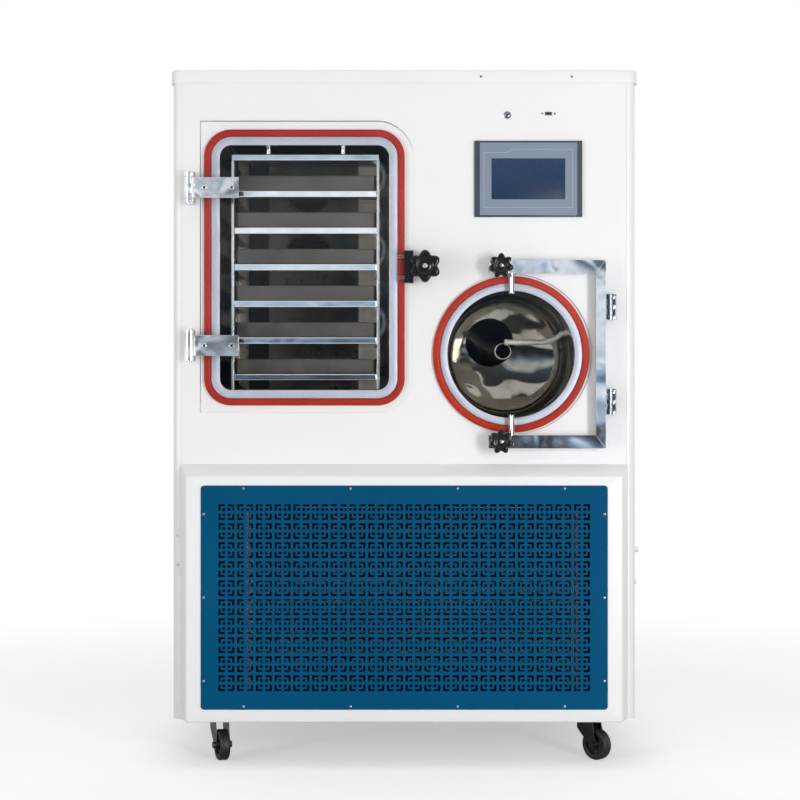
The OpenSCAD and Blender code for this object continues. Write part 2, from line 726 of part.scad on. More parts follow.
module latch_block() color("black") placed() difference() {
    slab_y(door_front, door_back) {
        translate([door_right - latch_w, chamber_z - latch_h / 2]) square([latch_w, latch_h]);
        translate([door_right - eps, chamber_z - latch_nose]) square([latch_out + eps, 2 * latch_nose]);
        translate([latch_x, chamber_z]) circle(r = latch_nose);
    }
    rod_y(latch_stud_d + 2 * run, latch_x, chamber_z, door_front - eps, door_back + eps);
    for (s = [-1, 1])
        rod_x(latch_screw_d + 0.2, (door_front + door_back) / 2, chamber_z + s * latch_screw_dz,
              door_right - latch_w - eps, door_right - 5);
}
// Lobed knob with a softened front, bored for its stud.
module star_knob(x, z, tip, lobe, waist, lobes, start, y_back, length, bore) difference() {
    union() {
        slab_y(y_back - length + 4, y_back) translate([x, z]) star_2d(tip, lobe, waist, lobes, start);
        slab_y(y_back - length, y_back - length + 4)
            translate([x, z]) star_2d(tip - 1.6, lobe - 1.6, waist - 1.6, lobes, start);
    }
    rod_y(bore, x, z, y_back - length - eps, y_back + eps);
}
module latch_knob() color("black") placed()
    star_knob(latch_x, chamber_z, latch_knob_r, 7, latch_knob_r - 9, 6, 30, door_front - knob_gap,
              latch_knob_l, latch_stud_d + 0.1);
module latch_stud() color("silver") placed()
    rod_y(latch_stud_d, latch_x, chamber_z, latch_stud_y0, face_y - latch_boss + nose_in);
module stud_bosses() color("silver") placed() {
    difference() {
        rod_y(24, latch_x, chamber_z, face_y - latch_boss, face_y);
        rod_y(latch_stud_d + 2, latch_x, chamber_z, face_y - latch_boss - eps, face_y + eps);
    }
    for (s = [-1, 1])
        difference() {
            rod_y(20, clamp_x, trap_z + s * arm_dz, face_y - clamp_boss, face_y);
            rod_y(clamp_stud_d + 2.4, clamp_x, trap_z + s * arm_dz, face_y - clamp_boss - eps, face_y + eps);
        }
}

// ---- shelves and trays ----
module shelf_rack() color("silver") placed() {
    roof = chamber_z + chamber_h / 2;
    foot_x = shelf_w / 2 + bar_t - (chamber_w / 2 - chamber_r);
    foot_lift = foot_x > 0 ? chamber_r - sqrt(chamber_r * chamber_r - foot_x * foot_x) : 0;
    floor_z = chamber_z - chamber_h / 2 + foot_lift + run;
    rear = shelf_front + shelf_d;
    bar_top = shelf_z[0] - shelf_t / 2;
    for (s = [-1, 1]) {
        box([s > 0 ? chamber_x + shelf_w / 2 : chamber_x - shelf_w / 2 - bar_t, shelf_front, floor_z],
            [s > 0 ? chamber_x + shelf_w / 2 + bar_t : chamber_x - shelf_w / 2, shelf_front + bar_d,
             bar_top]);
        box([s > 0 ? chamber_x + shelf_w / 2 - 47 : chamber_x - shelf_w / 2, rear, floor_z],
            [s > 0 ? chamber_x + shelf_w / 2 : chamber_x - shelf_w / 2 + 47, rear + bar_t, bar_top]);
        for (dy = [25, shelf_d - 25])
            rod_z(12, chamber_x + s * 79.5, shelf_front + dy, shelf_z[0] + shelf_t / 2, roof);
    }
}
module shelves() color("silver") placed() {
    for (i = [0 : shelf_count - 1]) {
        wide = i == 0 ? bar_t : 0;
        box([chamber_x - shelf_w / 2 - wide, shelf_front, shelf_z[i] - shelf_t / 2],
            [chamber_x + shelf_w / 2 + wide, shelf_front + shelf_d, shelf_z[i] + shelf_t / 2]);
    }
}
module trays() color("darkgray") placed()
    for (i = [1 : shelf_count - 1])
        translate([chamber_x, shelf_front + 2 + tray_d / 2, shelf_z[i] + shelf_t / 2]) tray();
module tray() {
    w = shelf_w - 4;
    difference() {
        union() {
            linear_extrude(tray_h) round_rect(w, tray_d, 8);
            translate([0, 0, tray_h - 3]) linear_extrude(3) round_rect(w + 2, tray_d + 2, 9);
        }
        translate([0, 0, tray_wall]) linear_extrude(tray_h)
            round_rect(w - 2 * tray_wall, tray_d - 2 * tray_wall, 8 - tray_wall);
    }
}
module shelf_hoses() color("ghostwhite") placed() {
    x = chamber_x + (shelf_w / 2 + bar_t + chamber_w / 2) / 2;
    for (i = [0 : shelf_count - 2]) {
        y = shelf_front + 50 + (i % 2) * (shelf_d - 110);
        z = (shelf_z[i] + shelf_z[i + 1]) / 2;
        translate([x, y, z]) rotate([0, -90, 0]) rotate([180, 0, 0]) rotate_extrude(angle = 180)
            translate([shelf_pitch / 2, 0]) circle(d = hose_od);
        for (s = [-1, 1]) {
            side = i == 0 && s > 0 ? bar_t : 0;
            rod_x(hose_od, y, z + s * shelf_pitch / 2, chamber_x + shelf_w / 2 + side, x);
            translate([x, y, z + s * shelf_pitch / 2]) sphere(d = hose_od);
        }
    }
}

// ---- cold trap ----
// Points along an arc, in degrees, from its second one on.
function arc_points(x, y, r, from, to, steps) =
    [for (i = [1 : steps]) let (a = from + (to - from) * i / steps) [x + r * cos(a), y + r * sin(a)]];
// Half section of a dished pot, mouth at zero and depth along +Y of the drawing: its straight wall
// runs into the knuckle and the knuckle into the spherical crown.
module pot_2d(r, depth, knuckle, crown) {
    rise = sqrt(pow(crown - knuckle, 2) - pow(r - knuckle, 2));
    lean = atan2(rise, r - knuckle);
    centre = depth - crown;
    polygon(concat(
        [[0, 0], [r, 0], [r, centre + rise]],
        arc_points(r - knuckle, centre + rise, knuckle, 0, lean, 8),
        [for (p = arc_points(0, centre, crown, lean, 90, 10)) if (p[0] > eps) p],
        [[0, depth]]));
}
// Outer form of the trap's pot, grown by a clearance.
module pot_outside(grow)
    about_trap(face_y) rotate_extrude()
        pot_2d(trap_id / 2 + vessel_wall + grow, trap_d + grow, trap_knuckle + vessel_wall + grow,
               trap_crown + vessel_wall + grow);
module about_trap(y) translate([trap_x, y, trap_z]) rotate([-90, 0, 0]) children();
module trap_barrel() color("silver") placed() difference() {
    union() {
        pot_outside(0);
        rod_y(trap_flange_od, trap_x, trap_z, face_y - flange_proud, face_y);
    }
    about_trap(face_y - flange_proud - eps) rotate_extrude()
        pot_2d(trap_id / 2, trap_d - vessel_wall + flange_proud + eps, trap_knuckle, trap_crown);
    rod_y(duct_id, duct_x, duct_z, duct_start - 2 * vessel_wall, face_y + trap_d + eps);
    defrost_path(defrost_od + 0.2, 48);
}
module trap_seal() color("firebrick") placed() difference() {
    rod_y(trap_seal_od, trap_x, trap_z, face_y - seal_proud, face_y);
    rod_y(trap_flange_od + 0.2, trap_x, trap_z, face_y - seal_proud - eps, face_y + eps);
}
module trap_disc() color("lightcyan", 0.4) placed() difference() {
    rod_y(disc_d, trap_x, trap_z, disc_front, disc_back);
    for (s = [-1, 1])
        rod_z(disc_pin_d + 2 * run, trap_x, disc_mid, trap_z + (s > 0 ? disc_d / 2 - 41 : -disc_d / 2 - 5),
              trap_z + (s > 0 ? disc_d / 2 + 5 : -disc_d / 2 + 41));
}
module disc_pins() color("silver") placed()
    for (s = [-1, 1])
        rod_z(disc_pin_d, trap_x, disc_mid,
              trap_z + (s > 0 ? disc_d / 2 - 40 : -arm_dz - arm_h / 2 + tube_wall),
              trap_z + (s > 0 ? arm_dz + arm_h / 2 - tube_wall : -disc_d / 2 + 40));
module door_frame_2d(inset) {
    z_out = arm_dz + arm_h / 2 - inset;
    for (s = [-1, 1])
        translate([arm_x0 + inset, trap_z + s * arm_dz - arm_h / 2 + inset])
            square([post_x1 - arm_x0 - 2 * inset, arm_h - 2 * inset]);
    translate([post_x1 - post_w + inset, trap_z - z_out]) square([post_w - 2 * inset, 2 * z_out]);
}
module trap_door_frame() color("silver") placed() difference() {
    slab_y(disc_front, disc_back) door_frame_2d(0);
    slab_y(disc_front + tube_wall, disc_back - tube_wall) door_frame_2d(tube_wall);
    for (s = [-1, 1]) {
        rod_y(clamp_stud_d + 2 * run, clamp_x, trap_z + s * arm_dz, disc_front - eps, disc_back + eps);
        rod_z(disc_pin_d + 0.2, trap_x, disc_mid, trap_z + s * arm_dz - (s > 0 ? arm_h : arm_h / 2 - 3),
              trap_z + s * arm_dz + (s > 0 ? arm_h / 2 - 3 : arm_h));
    }
}
// Stack of knuckles on the trap hinge axis; the fixed ones are the first, third and fifth.
module leaf_knuckles(z, which, bore, web_x0, web_x1)
    for (k = which) {
        z0 = z - leaf_h / 2 + k * (knuckle_h + knuckle_gap);
        difference() {
            union() {
                rod_z(leaf_od, leaf_x, disc_mid, z0, z0 + knuckle_h);
                box([web_x0, disc_mid - 3, z0], [web_x1, disc_mid + 3, z0 + knuckle_h]);
            }
            rod_z(bore, leaf_x, disc_mid, z0 - eps, z0 + knuckle_h + eps);
        }
    }
module fixed_leaves() color("silver") placed()
    for (s = [-1, 1]) {
        z = trap_z + s * leaf_dz;
        leaf_knuckles(z, [0, 2, 4], leaf_pin + 2 * run, leaf_x, leaf_x + 10.5);
        box([leaf_x + 10.5, disc_mid - 1.25, z - leaf_h / 2],
            [leaf_x + 10.5 + leaf_t, face_y, z + leaf_h / 2]);
    }
module moving_leaves() color("silver") placed()
    for (s = [-1, 1]) {
        z = trap_z + s * leaf_dz;
        leaf_knuckles(z, [1, 3], leaf_pin + 2 * run, post_x1 + leaf_t, leaf_x);
        box([post_x1, disc_mid - 11, z - leaf_h / 2], [post_x1 + leaf_t, disc_mid + 11, z + leaf_h / 2]);
    }
module clamp_knob(s) color("black") placed() {
    z = trap_z + s * arm_dz;
    star_knob(clamp_x, z, clamp_knob_r, 5.5, clamp_knob_r - 7.5, 7, 90, disc_front - knob_gap, clamp_knob_l,
              clamp_stud_d + 0.1);
    color("silver") rod_y(clamp_stud_d, clamp_x, z, disc_front - knob_gap - clamp_knob_l - 2,
                          face_y - clamp_boss + nose_in);
}
module suction_pipe() color("silver") placed() difference() {
    union() {
        rod_y(suction_od, suction_x, suction_z, face_y + trap_d - 40, back_y - 30);
        rod_y(kf_bore + 2 * suction_wall, suction_x, suction_z, back_y - 31, kf_end);
        rod_y(kf_od, suction_x, suction_z, kf_end - 4, kf_end);
        translate([suction_x, kf_end - 4, suction_z]) rotate([90, 0, 0])
            cylinder(d1 = kf_od, d2 = kf_bore + 2 * suction_wall, h = 3);
    }
    rod_y(suction_od - 2 * suction_wall, suction_x, suction_z, face_y, back_y - 30 - suction_wall);
    rod_y(kf_bore, suction_x, suction_z, back_y - 40, kf_end + eps);
}
// Defrost tube: a straight run with a branch that climbs out through the wall.
module defrost_path(d, reach) translate([trap_x - 2, face_y + 200, trap_z + 30]) {
    run_x = 106;
    rod_x(d, 0, 0, 0, run_x + d / 2);
    translate([run_x, 0, 0]) rotate([0, 45, 0]) cylinder(d = d - 1, h = reach);
}
module defrost_tube() color("silver") placed() difference() {
    union() {
        defrost_path(defrost_od, 48);
        rod_x(defrost_od + 2, face_y + 200, trap_z + 30, trap_x, trap_x + 5);
    }
    rod_x(defrost_od - 3, face_y + 200, trap_z + 30, trap_x - 4, trap_x + 90);
}
// The duct's two stubs and the wider cross pipe they run into, drawn a wall in for the bore.
module duct_path(wall) {
    cross_d = duct_id + 2 * duct_wall + 10 - 2 * wall;
    stub_d = duct_id + 2 * duct_wall - 2 * wall;
    past = cross_d / 2 + 3;
    over = wall > 0 ? eps : 0;
    rod_y(stub_d, port_x, port_z, face_y + chamber_d - over, duct_y);
    rod_y(stub_d, duct_x, duct_z, duct_start - over, duct_y);
    dx = duct_x - port_x;
    dz = duct_z - port_z;
    translate([port_x, duct_y, port_z]) rotate([0, atan2(dx, dz), 0]) translate([0, 0, -past])
        cylinder(d = cross_d, h = sqrt(dx * dx + dz * dz) + 2 * past);
}
module vapour_duct() color("silver") placed() difference() {
    duct_path(0);
    duct_path(duct_wall);
    pot_outside(run);
    rod_y(suction_od + 0.4, suction_x, suction_z, duct_y, back_y);
}

// ---- controls ----
module hmi_housing() color("slategray") placed() {
    rail = 12;
    screen_w = 154.8;
    screen_h = 86;
    difference() {
        union() {
            slab_y(face_y - 5.2, face_y) translate([hmi_right, hmi_z])
                square([hmi_w, hmi_h], center = true);
            for (s = [-1, 1])
                slab_y(face_y - 6, face_y) translate([hmi_right + s * (hmi_w - rail) / 2, hmi_z])
                    square([rail, hmi_h], center = true);
            slab_y(face_y, face_y + 40) translate([hmi_right, hmi_z])
                square([hmi_w - 12, hmi_h - 12], center = true);
        }
        slab_y(face_y - 5.2 - eps, face_y - 3.2) translate([hmi_right, hmi_z])
            square([screen_w, screen_h], center = true);
        rod_y(3.1, hmi_right + 81, hmi_z - 38.9, face_y - 6 - eps, face_y - 3.2);
    }
}
module hmi_screen() color("steelblue") placed() {
    slab_y(face_y - 4.6, face_y - 3.2) translate([hmi_right, hmi_z]) square([154.4, 85.6], center = true);
    rod_y(3, hmi_right + 81, hmi_z - 38.9, face_y - 5.6, face_y - 3.2);
}
module button_bezel() color("silver") placed() difference() {
    union() {
        rod_y(button_od, button_x, button_z, face_y - 2, face_y);
        rod_y(button_od - 1.4, button_x, button_z, face_y, face_y + 16);
    }
    rod_y(button_cap_d + 0.6, button_x, button_z, face_y - 2 - eps, face_y + 14);
}
module button_cap() color("black") placed()
    rod_y(button_cap_d, button_x, button_z, face_y - 4.5, face_y + 6);
module usb_socket() color("silver") placed() {
    difference() {
        union() {
            slab_y(face_y - 1.2, face_y + 15) translate([usb_x, usb_z]) square([15, 7.5], center = true);
            slab_y(face_y + sheet, face_y + sheet + 1.5)
                translate([usb_x, usb_z]) square([40, 14], center = true);
        }
        slab_y(face_y - 3, face_y + 10) translate([usb_x, usb_z]) square([12.4, 4.6], center = true);
        for (s = [-1, 1]) rod_y(screw_d + 0.2, usb_x + s * usb_screw_dx, usb_z, face_y, face_y + 6 * sheet);
    }
    slab_y(face_y + 1, face_y + 10) translate([usb_x, usb_z + 1]) square([11, 1.6], center = true);
}

// ---- machine room ----
pan_z = ground_gap + frame_t;
module compressor() color("black") placed() translate([-230, 130, pan_z]) {
    r = compressor_d / 2;
    rotate_extrude() intersection() {
        union() {
            translate([0, 20]) square([r, 200]);
            translate([0, 20]) square([r - 30, 230]);
            translate([r - 30, 220]) circle(r = 30);
        }
        square([r, 300]);
    }
    for (a = [45 : 90 : 315])
        rotate(a) translate([r - 15, -18, 0]) cube([45, 36, 4]);
    for (a = [45 : 90 : 315])
        rotate(a) translate([r - 15, -3, 0]) cube([20, 6, 60]);
}
function row_z(i) = coil_z + (i - (coil_rows - 1) / 2) * coil_pitch;
module fin_pack() color("gray") placed() difference() {
    box([fan_x - fin_w / 2, face_y + 20, coil_z - fin_h / 2],
        [fan_x + fin_w / 2, face_y + 20 + fin_d, coil_z + fin_h / 2]);
    for (i = [0 : coil_rows - 1])
        rod_x(coil_od + 0.1, coil_y, row_z(i), fan_x - fin_w / 2 - eps, fan_x + fin_w / 2 + eps);
}
// Straight tubes between two upright headers, drawn a wall in for their bore.
module coil_body(wall) {
    reach = fin_w / 2 + 16;
    for (i = [0 : coil_rows - 1])
        rod_x(coil_od - 2 * wall, coil_y, row_z(i), fan_x - reach, fan_x + reach);
    for (s = [-1, 1])
        rod_z(22 - 2 * wall, fan_x + s * reach, coil_y, row_z(0) - 16 + wall,
              row_z(coil_rows - 1) + 16 - wall);
}
module coil_tubes() color("peru") placed() difference() {
    coil_body(0);
    coil_body(0.8);
}
module fan_shroud() color("dimgray") placed() {
    y0 = face_y + 20 + fin_d;
    motor_y = fan_y + 34;
    difference() {
        union() {
            box([fan_x - fin_w / 2, y0, coil_z - fin_h / 2], [fan_x + fin_w / 2, y0 + 2, coil_z + fin_h / 2]);
            rod_y(fan_d + 16, fan_x, fan_z, y0, y0 + 42);
            for (s = [-1, 1])
                box([fan_x + s * (fin_w / 2 - 20) - 15, y0, pan_z],
                    [fan_x + s * (fin_w / 2 - 20) + 15, y0 + 20, coil_z]);
        }
        rod_y(fan_d + 12, fan_x, fan_z, y0 - eps, y0 + 44);
    }
    for (a = [90, 210, 330])
        translate([fan_x, 0, fan_z]) rotate([0, a, 0]) {
            box([30, motor_y + 4, -4], [fan_d / 2 + 8, motor_y + 10, 4]);
            box([fan_d / 2 + 6.2, y0 + 20, -4], [fan_d / 2 + 8, motor_y + 10, 4]);
        }
    rod_y(92, fan_x, fan_z, motor_y, motor_y + 70);
    rod_y(10, fan_x, fan_z, fan_y - 8, motor_y + 1);
}
module fan_rotor() color("black") placed() difference() {
    union() {
        rod_y(88, fan_x, fan_z, fan_y - 6, fan_y + 30);
        intersection() {
            for (i = [0 : 4])
                translate([fan_x, fan_y + 12, fan_z]) rotate([0, i * 72, 0]) translate([30, 0, 0])
                    rotate([28, 0, 0]) translate([0, -2, -45]) cube([fan_d / 2 - 30, 4, 90]);
            rod_y(fan_d, fan_x, fan_z, fan_y - 40, fan_y + 60);
        }
    }
    rod_y(10 + 2 * run, fan_x, fan_z, fan_y - 20, fan_y + 40);
}
module side_fittings() color("gainsboro") placed() {
    drain_valve();
    air_inlet();
}
module drain_valve() difference() {
    union() {
        rod_x(24, side_y, drain_z, half_w, half_w + 8);
        rod_x(16, side_y, drain_z, half_w - sheet - 14, half_w + 14);
        rod_x(24, side_y, drain_z, half_w - sheet - 10, half_w - sheet - 2);
        rod_x(12, side_y, drain_z, half_w, half_w + nozzle_out);
    }
    rod_x(8, side_y, drain_z, half_w - 30, half_w + nozzle_out + eps);
}
module air_inlet() difference() {
    union() {
        rod_x(11, side_y, air_z, half_w, half_w + nozzle_out - 4);
        rod_x(8, side_y, air_z, half_w - sheet - 14, half_w + eps);
        rod_x(13, side_y, air_z, half_w - sheet - 8, half_w - sheet - 2);
    }
    rod_x(5, side_y, air_z, half_w - 30, half_w + nozzle_out);
}
// Appliance inlet for the mains cord, let into the back panel.
module power_inlet() color("black") placed() difference() {
    union() {
        slab_y(back_y, back_y + 3) translate([inlet_x, inlet_z]) square([58, 34], center = true);
        slab_y(back_y - 24, back_y) translate([inlet_x, inlet_z]) square([47.4, 27.4], center = true);
    }
    slab_y(back_y - 14, back_y + 3 + eps) translate([inlet_x, inlet_z]) difference() {
        square([25, 17], center = true);
        for (x = [-7, 0, 7]) translate([x, x == 0 ? 3 : -2]) square([2, 5], center = true);
    }
}
module oil_pump() color("slategray") placed() translate([chamber_x, face_y + 250, deck_z]) {
    rod_y(76, 0, 55, -70, 40);
    rod_y(60, 0, 55, 40, 80);
    for (y = [-45, 15]) translate([-30, y, 0]) cube([60, 20, 30]);
    rod_z(20, 0, 62, 55, 120);
}
module control_box() color("lightgray") placed()
    box([half_w - sheet - 120, face_y + 150, 1080], [half_w - sheet, face_y + 300, 1400]);

frame();
side_panel(-1);  // side_panel_left
side_panel(1);  // side_panel_right
back_panel();
top_cover();
front_panel();
front_surround();
grille_panel();
grille_screws();
panel_screws();
caster_plates();
caster_fork(-1, -1, -70);  // caster_fork_fl
caster_fork(1, -1, -45);  // caster_fork_fr
caster_fork(-1, 1, -75);  // caster_fork_rl
caster_fork(1, 1, -100);  // caster_fork_rr
caster_wheel(-1, -1, -70);  // caster_wheel_fl
caster_wheel(1, -1, -45);  // caster_wheel_fr
caster_wheel(-1, 1, -75);  // caster_wheel_rl
caster_wheel(1, 1, -100);  // caster_wheel_rr
drying_chamber();
chamber_seal();
chamber_door();
hinge_seats();
hinge_straps();
door_screws();
latch_block();
latch_knob();
latch_stud();
stud_bosses();
hinge_pins();
shelf_rack();
shelves();
trays();
shelf_hoses();
trap_barrel();
trap_seal();
trap_disc();
disc_pins();
trap_door_frame();
fixed_leaves();
moving_leaves();
clamp_knob(1);  // clamp_knob_upper
clamp_knob(-1);  // clamp_knob_lower
suction_pipe();
defrost_tube();
vapour_duct();
hmi_housing();
hmi_screen();
button_bezel();
button_cap();
usb_socket();
compressor();
fin_pack();
coil_tubes();
fan_shroud();
fan_rotor();
side_fittings();
oil_pump();
control_box();
power_inlet();
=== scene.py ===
"""Looks of a pilot freeze dryer: finishes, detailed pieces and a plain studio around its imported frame."""

import json
import logging
import math
from collections.abc import Callable, Sequence
from dataclasses import dataclass
from enum import Enum

import bmesh
import bpy
from mathutils import Matrix, Vector


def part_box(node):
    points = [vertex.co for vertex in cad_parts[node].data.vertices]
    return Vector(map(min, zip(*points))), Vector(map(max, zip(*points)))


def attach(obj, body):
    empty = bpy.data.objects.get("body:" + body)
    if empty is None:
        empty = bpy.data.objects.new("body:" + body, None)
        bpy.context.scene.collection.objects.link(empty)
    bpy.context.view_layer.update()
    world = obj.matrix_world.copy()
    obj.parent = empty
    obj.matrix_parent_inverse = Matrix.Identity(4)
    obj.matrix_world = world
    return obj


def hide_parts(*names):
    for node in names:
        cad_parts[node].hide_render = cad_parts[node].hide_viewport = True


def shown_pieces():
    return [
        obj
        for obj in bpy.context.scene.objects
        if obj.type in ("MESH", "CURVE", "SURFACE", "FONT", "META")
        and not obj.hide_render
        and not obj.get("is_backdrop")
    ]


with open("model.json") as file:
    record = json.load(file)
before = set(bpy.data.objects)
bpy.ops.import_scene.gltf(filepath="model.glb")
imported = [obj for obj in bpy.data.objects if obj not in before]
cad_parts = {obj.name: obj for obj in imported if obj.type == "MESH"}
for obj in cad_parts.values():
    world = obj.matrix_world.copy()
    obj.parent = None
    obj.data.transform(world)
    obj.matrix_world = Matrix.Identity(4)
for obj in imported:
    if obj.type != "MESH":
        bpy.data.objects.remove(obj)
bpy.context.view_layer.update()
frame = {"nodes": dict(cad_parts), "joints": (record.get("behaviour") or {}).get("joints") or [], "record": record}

log = logging.getLogger("freeze_dryer")

Colour = tuple[float, float, float, float]
Span = tuple[float, float]
Stretch = tuple[float, float, float]
Profile = list[tuple[float, float]]
Ring = list[Vector]
Value = bpy.types.NodeSocket | float

MM = 0.001
TAU = 2 * math.pi
SAME_POINT = 1e-7  # points of a built mesh that lie closer than this become one
SAME_CAD_POINT = 2e-6  # the same for a CAD mesh, whose points are rounded
SAME_PLANE = math.radians(0.4)  # facets that turn less than this become one face
LEAST_RADIUS = 1e-5  # a corner that is drawn in keeps this radius
INWARD = Vector((0, 1, 0))  # from the front into the machine
OUTWARD = Vector((0, -1, 0))
RIGHT = Vector((1, 0, 0))
PURE_WHITE: Colour = (1.0, 1.0, 1.0, 1.0)
EVEN: Stretch = (1.0, 1.0, 1.0)

BODY_OF = {node: body for body, nodes in frame["record"]["behaviour"]["bodies"].items() for node in nodes}


def srgb(red: float, green: float, blue: float) -> Colour:
    """Turns screen values from 0 to 255 into a linear colour.

    Args:
        red: Red on the screen.
        green: Green on the screen.
        blue: Blue on the screen.

    Returns:
        The colour as a shader reads it.
    """
    def linear(value: float) -> float:
        """Undoes the screen curve for one channel."""
        share = value / 255
        return share / 12.92 if share <= 0.04045 else ((share + 0.055) / 1.055) ** 2.4

    return (linear(red), linear(green), linear(blue), 1.0)


# ---------------------------------------------------------------- shader effects


class Graph:
    """Adds and links nodes in one shader tree."""

    def __init__(self, tree: bpy.types.NodeTree) -> None:
        """Keeps the tree that nodes go into."""
        self.tree = tree

    @classmethod
    def blank(cls, owner: bpy.types.ID) -> "Graph":
        """Empties the tree of a material or world.

        Args:
            owner: The material or world.

        Returns:
            Its graph.
        """
        owner.use_nodes = True
        owner.node_tree.nodes.clear()
        return cls(owner.node_tree)

    def feed(self, node: bpy.types.Node, inputs: dict) -> bpy.types.Node:
        """Links or sets a node's inputs.

        Args:
            node: The node.
            inputs: Input name or number to a socket to link from or a plain value.

        Returns:
            The node.
        """
        for key, value in inputs.items():
            if isinstance(value, bpy.types.NodeSocket):
                self.tree.links.new(value, node.inputs[key])
            else:
                node.inputs[key].default_value = value
        return node

    def add(self, kind: str, inputs: dict | None = None, **settings: object) -> bpy.types.Node:
        """Adds a node and fills its inputs.

        Args:
            kind: Blender's node type.
            inputs: What feeds its inputs, as feed() takes it.
            **settings: Properties of the node itself.

        Returns:
            The new node.
        """
        node = self.tree.nodes.new(kind)
        for name, value in settings.items():
            setattr(node, name, value)
        return self.feed(node, inputs or {})

    def position(self) -> bpy.types.NodeSocket:
        """Gives the place on the object."""
        return self.add("ShaderNodeTexCoord").outputs["Object"]

    def noise(self, where: bpy.types.NodeSocket, scale: Value, detail: float, roughness: float = 0.5,
              distortion: float = 0.0) -> bpy.types.NodeSocket:
        """Adds cloudy noise.

        Args:
            where: The place that it is read at.
            scale: How fine it is.
            detail: Layers of finer noise on it.
            roughness: How strong the finer layers are.
            distortion: How much it is swirled.

        Returns:
            The noise, round 0.5.
        """
        keys = {"Vector": where, "Scale": scale, "Detail": detail, "Roughness": roughness, "Distortion": distortion}
        return self.add("ShaderNodeTexNoise", keys).outputs[0]

    def math(self, operation: str, first: Value, second: Value = 0.0, clamp: bool = False) -> bpy.types.NodeSocket:
        """Adds a maths node and returns its result."""
        return self.add("ShaderNodeMath", {0: first, 1: second}, operation=operation, use_clamp=clamp).outputs[0]

    def remap(self, value: bpy.types.NodeSocket, low: Value, high: Value, start: float = 0.0,
              end: float = 1.0) -> bpy.types.NodeSocket:
        """Maps a value between two limits onto another range, clamped.

        Args:
            value: What is mapped.
            low: Result at the start.
            high: Result at the end.
            start: Value that gives the low result.
            end: Value that gives the high result.

        Returns:
            The mapped value.
        """
        keys = {"Value": value, "From Min": start, "From Max": end, "To Min": low, "To Max": high}
        return self.add("ShaderNodeMapRange", keys).outputs["Result"]

    def mix(self, share: Value, first: object, second: object) -> bpy.types.NodeSocket:
        """Mixes two colours and returns the result."""
        return self.add("ShaderNodeMix", {0: share, 6: first, 7: second}, data_type="RGBA").outputs[2]

    def bump(self, height: bpy.types.NodeSocket, strength: float, distance: float) -> bpy.types.NodeSocket:
        """Turns a height into a bent normal."""
        keys = {"Height": height, "Strength": strength, "Distance": distance}
        return self.add("ShaderNodeBump", keys).outputs["Normal"]


class Effect(Enum):
    """Surface effects that more than one finish uses."""

    PEEL = "PaintPeel"
    GRAIN = "MetalGrain"
    BLOTCH = "SoftBlotch"
    RIPPLE = "SheetRipple"
    WEAR = "EdgeWear"
    DUST = "DustFilm"


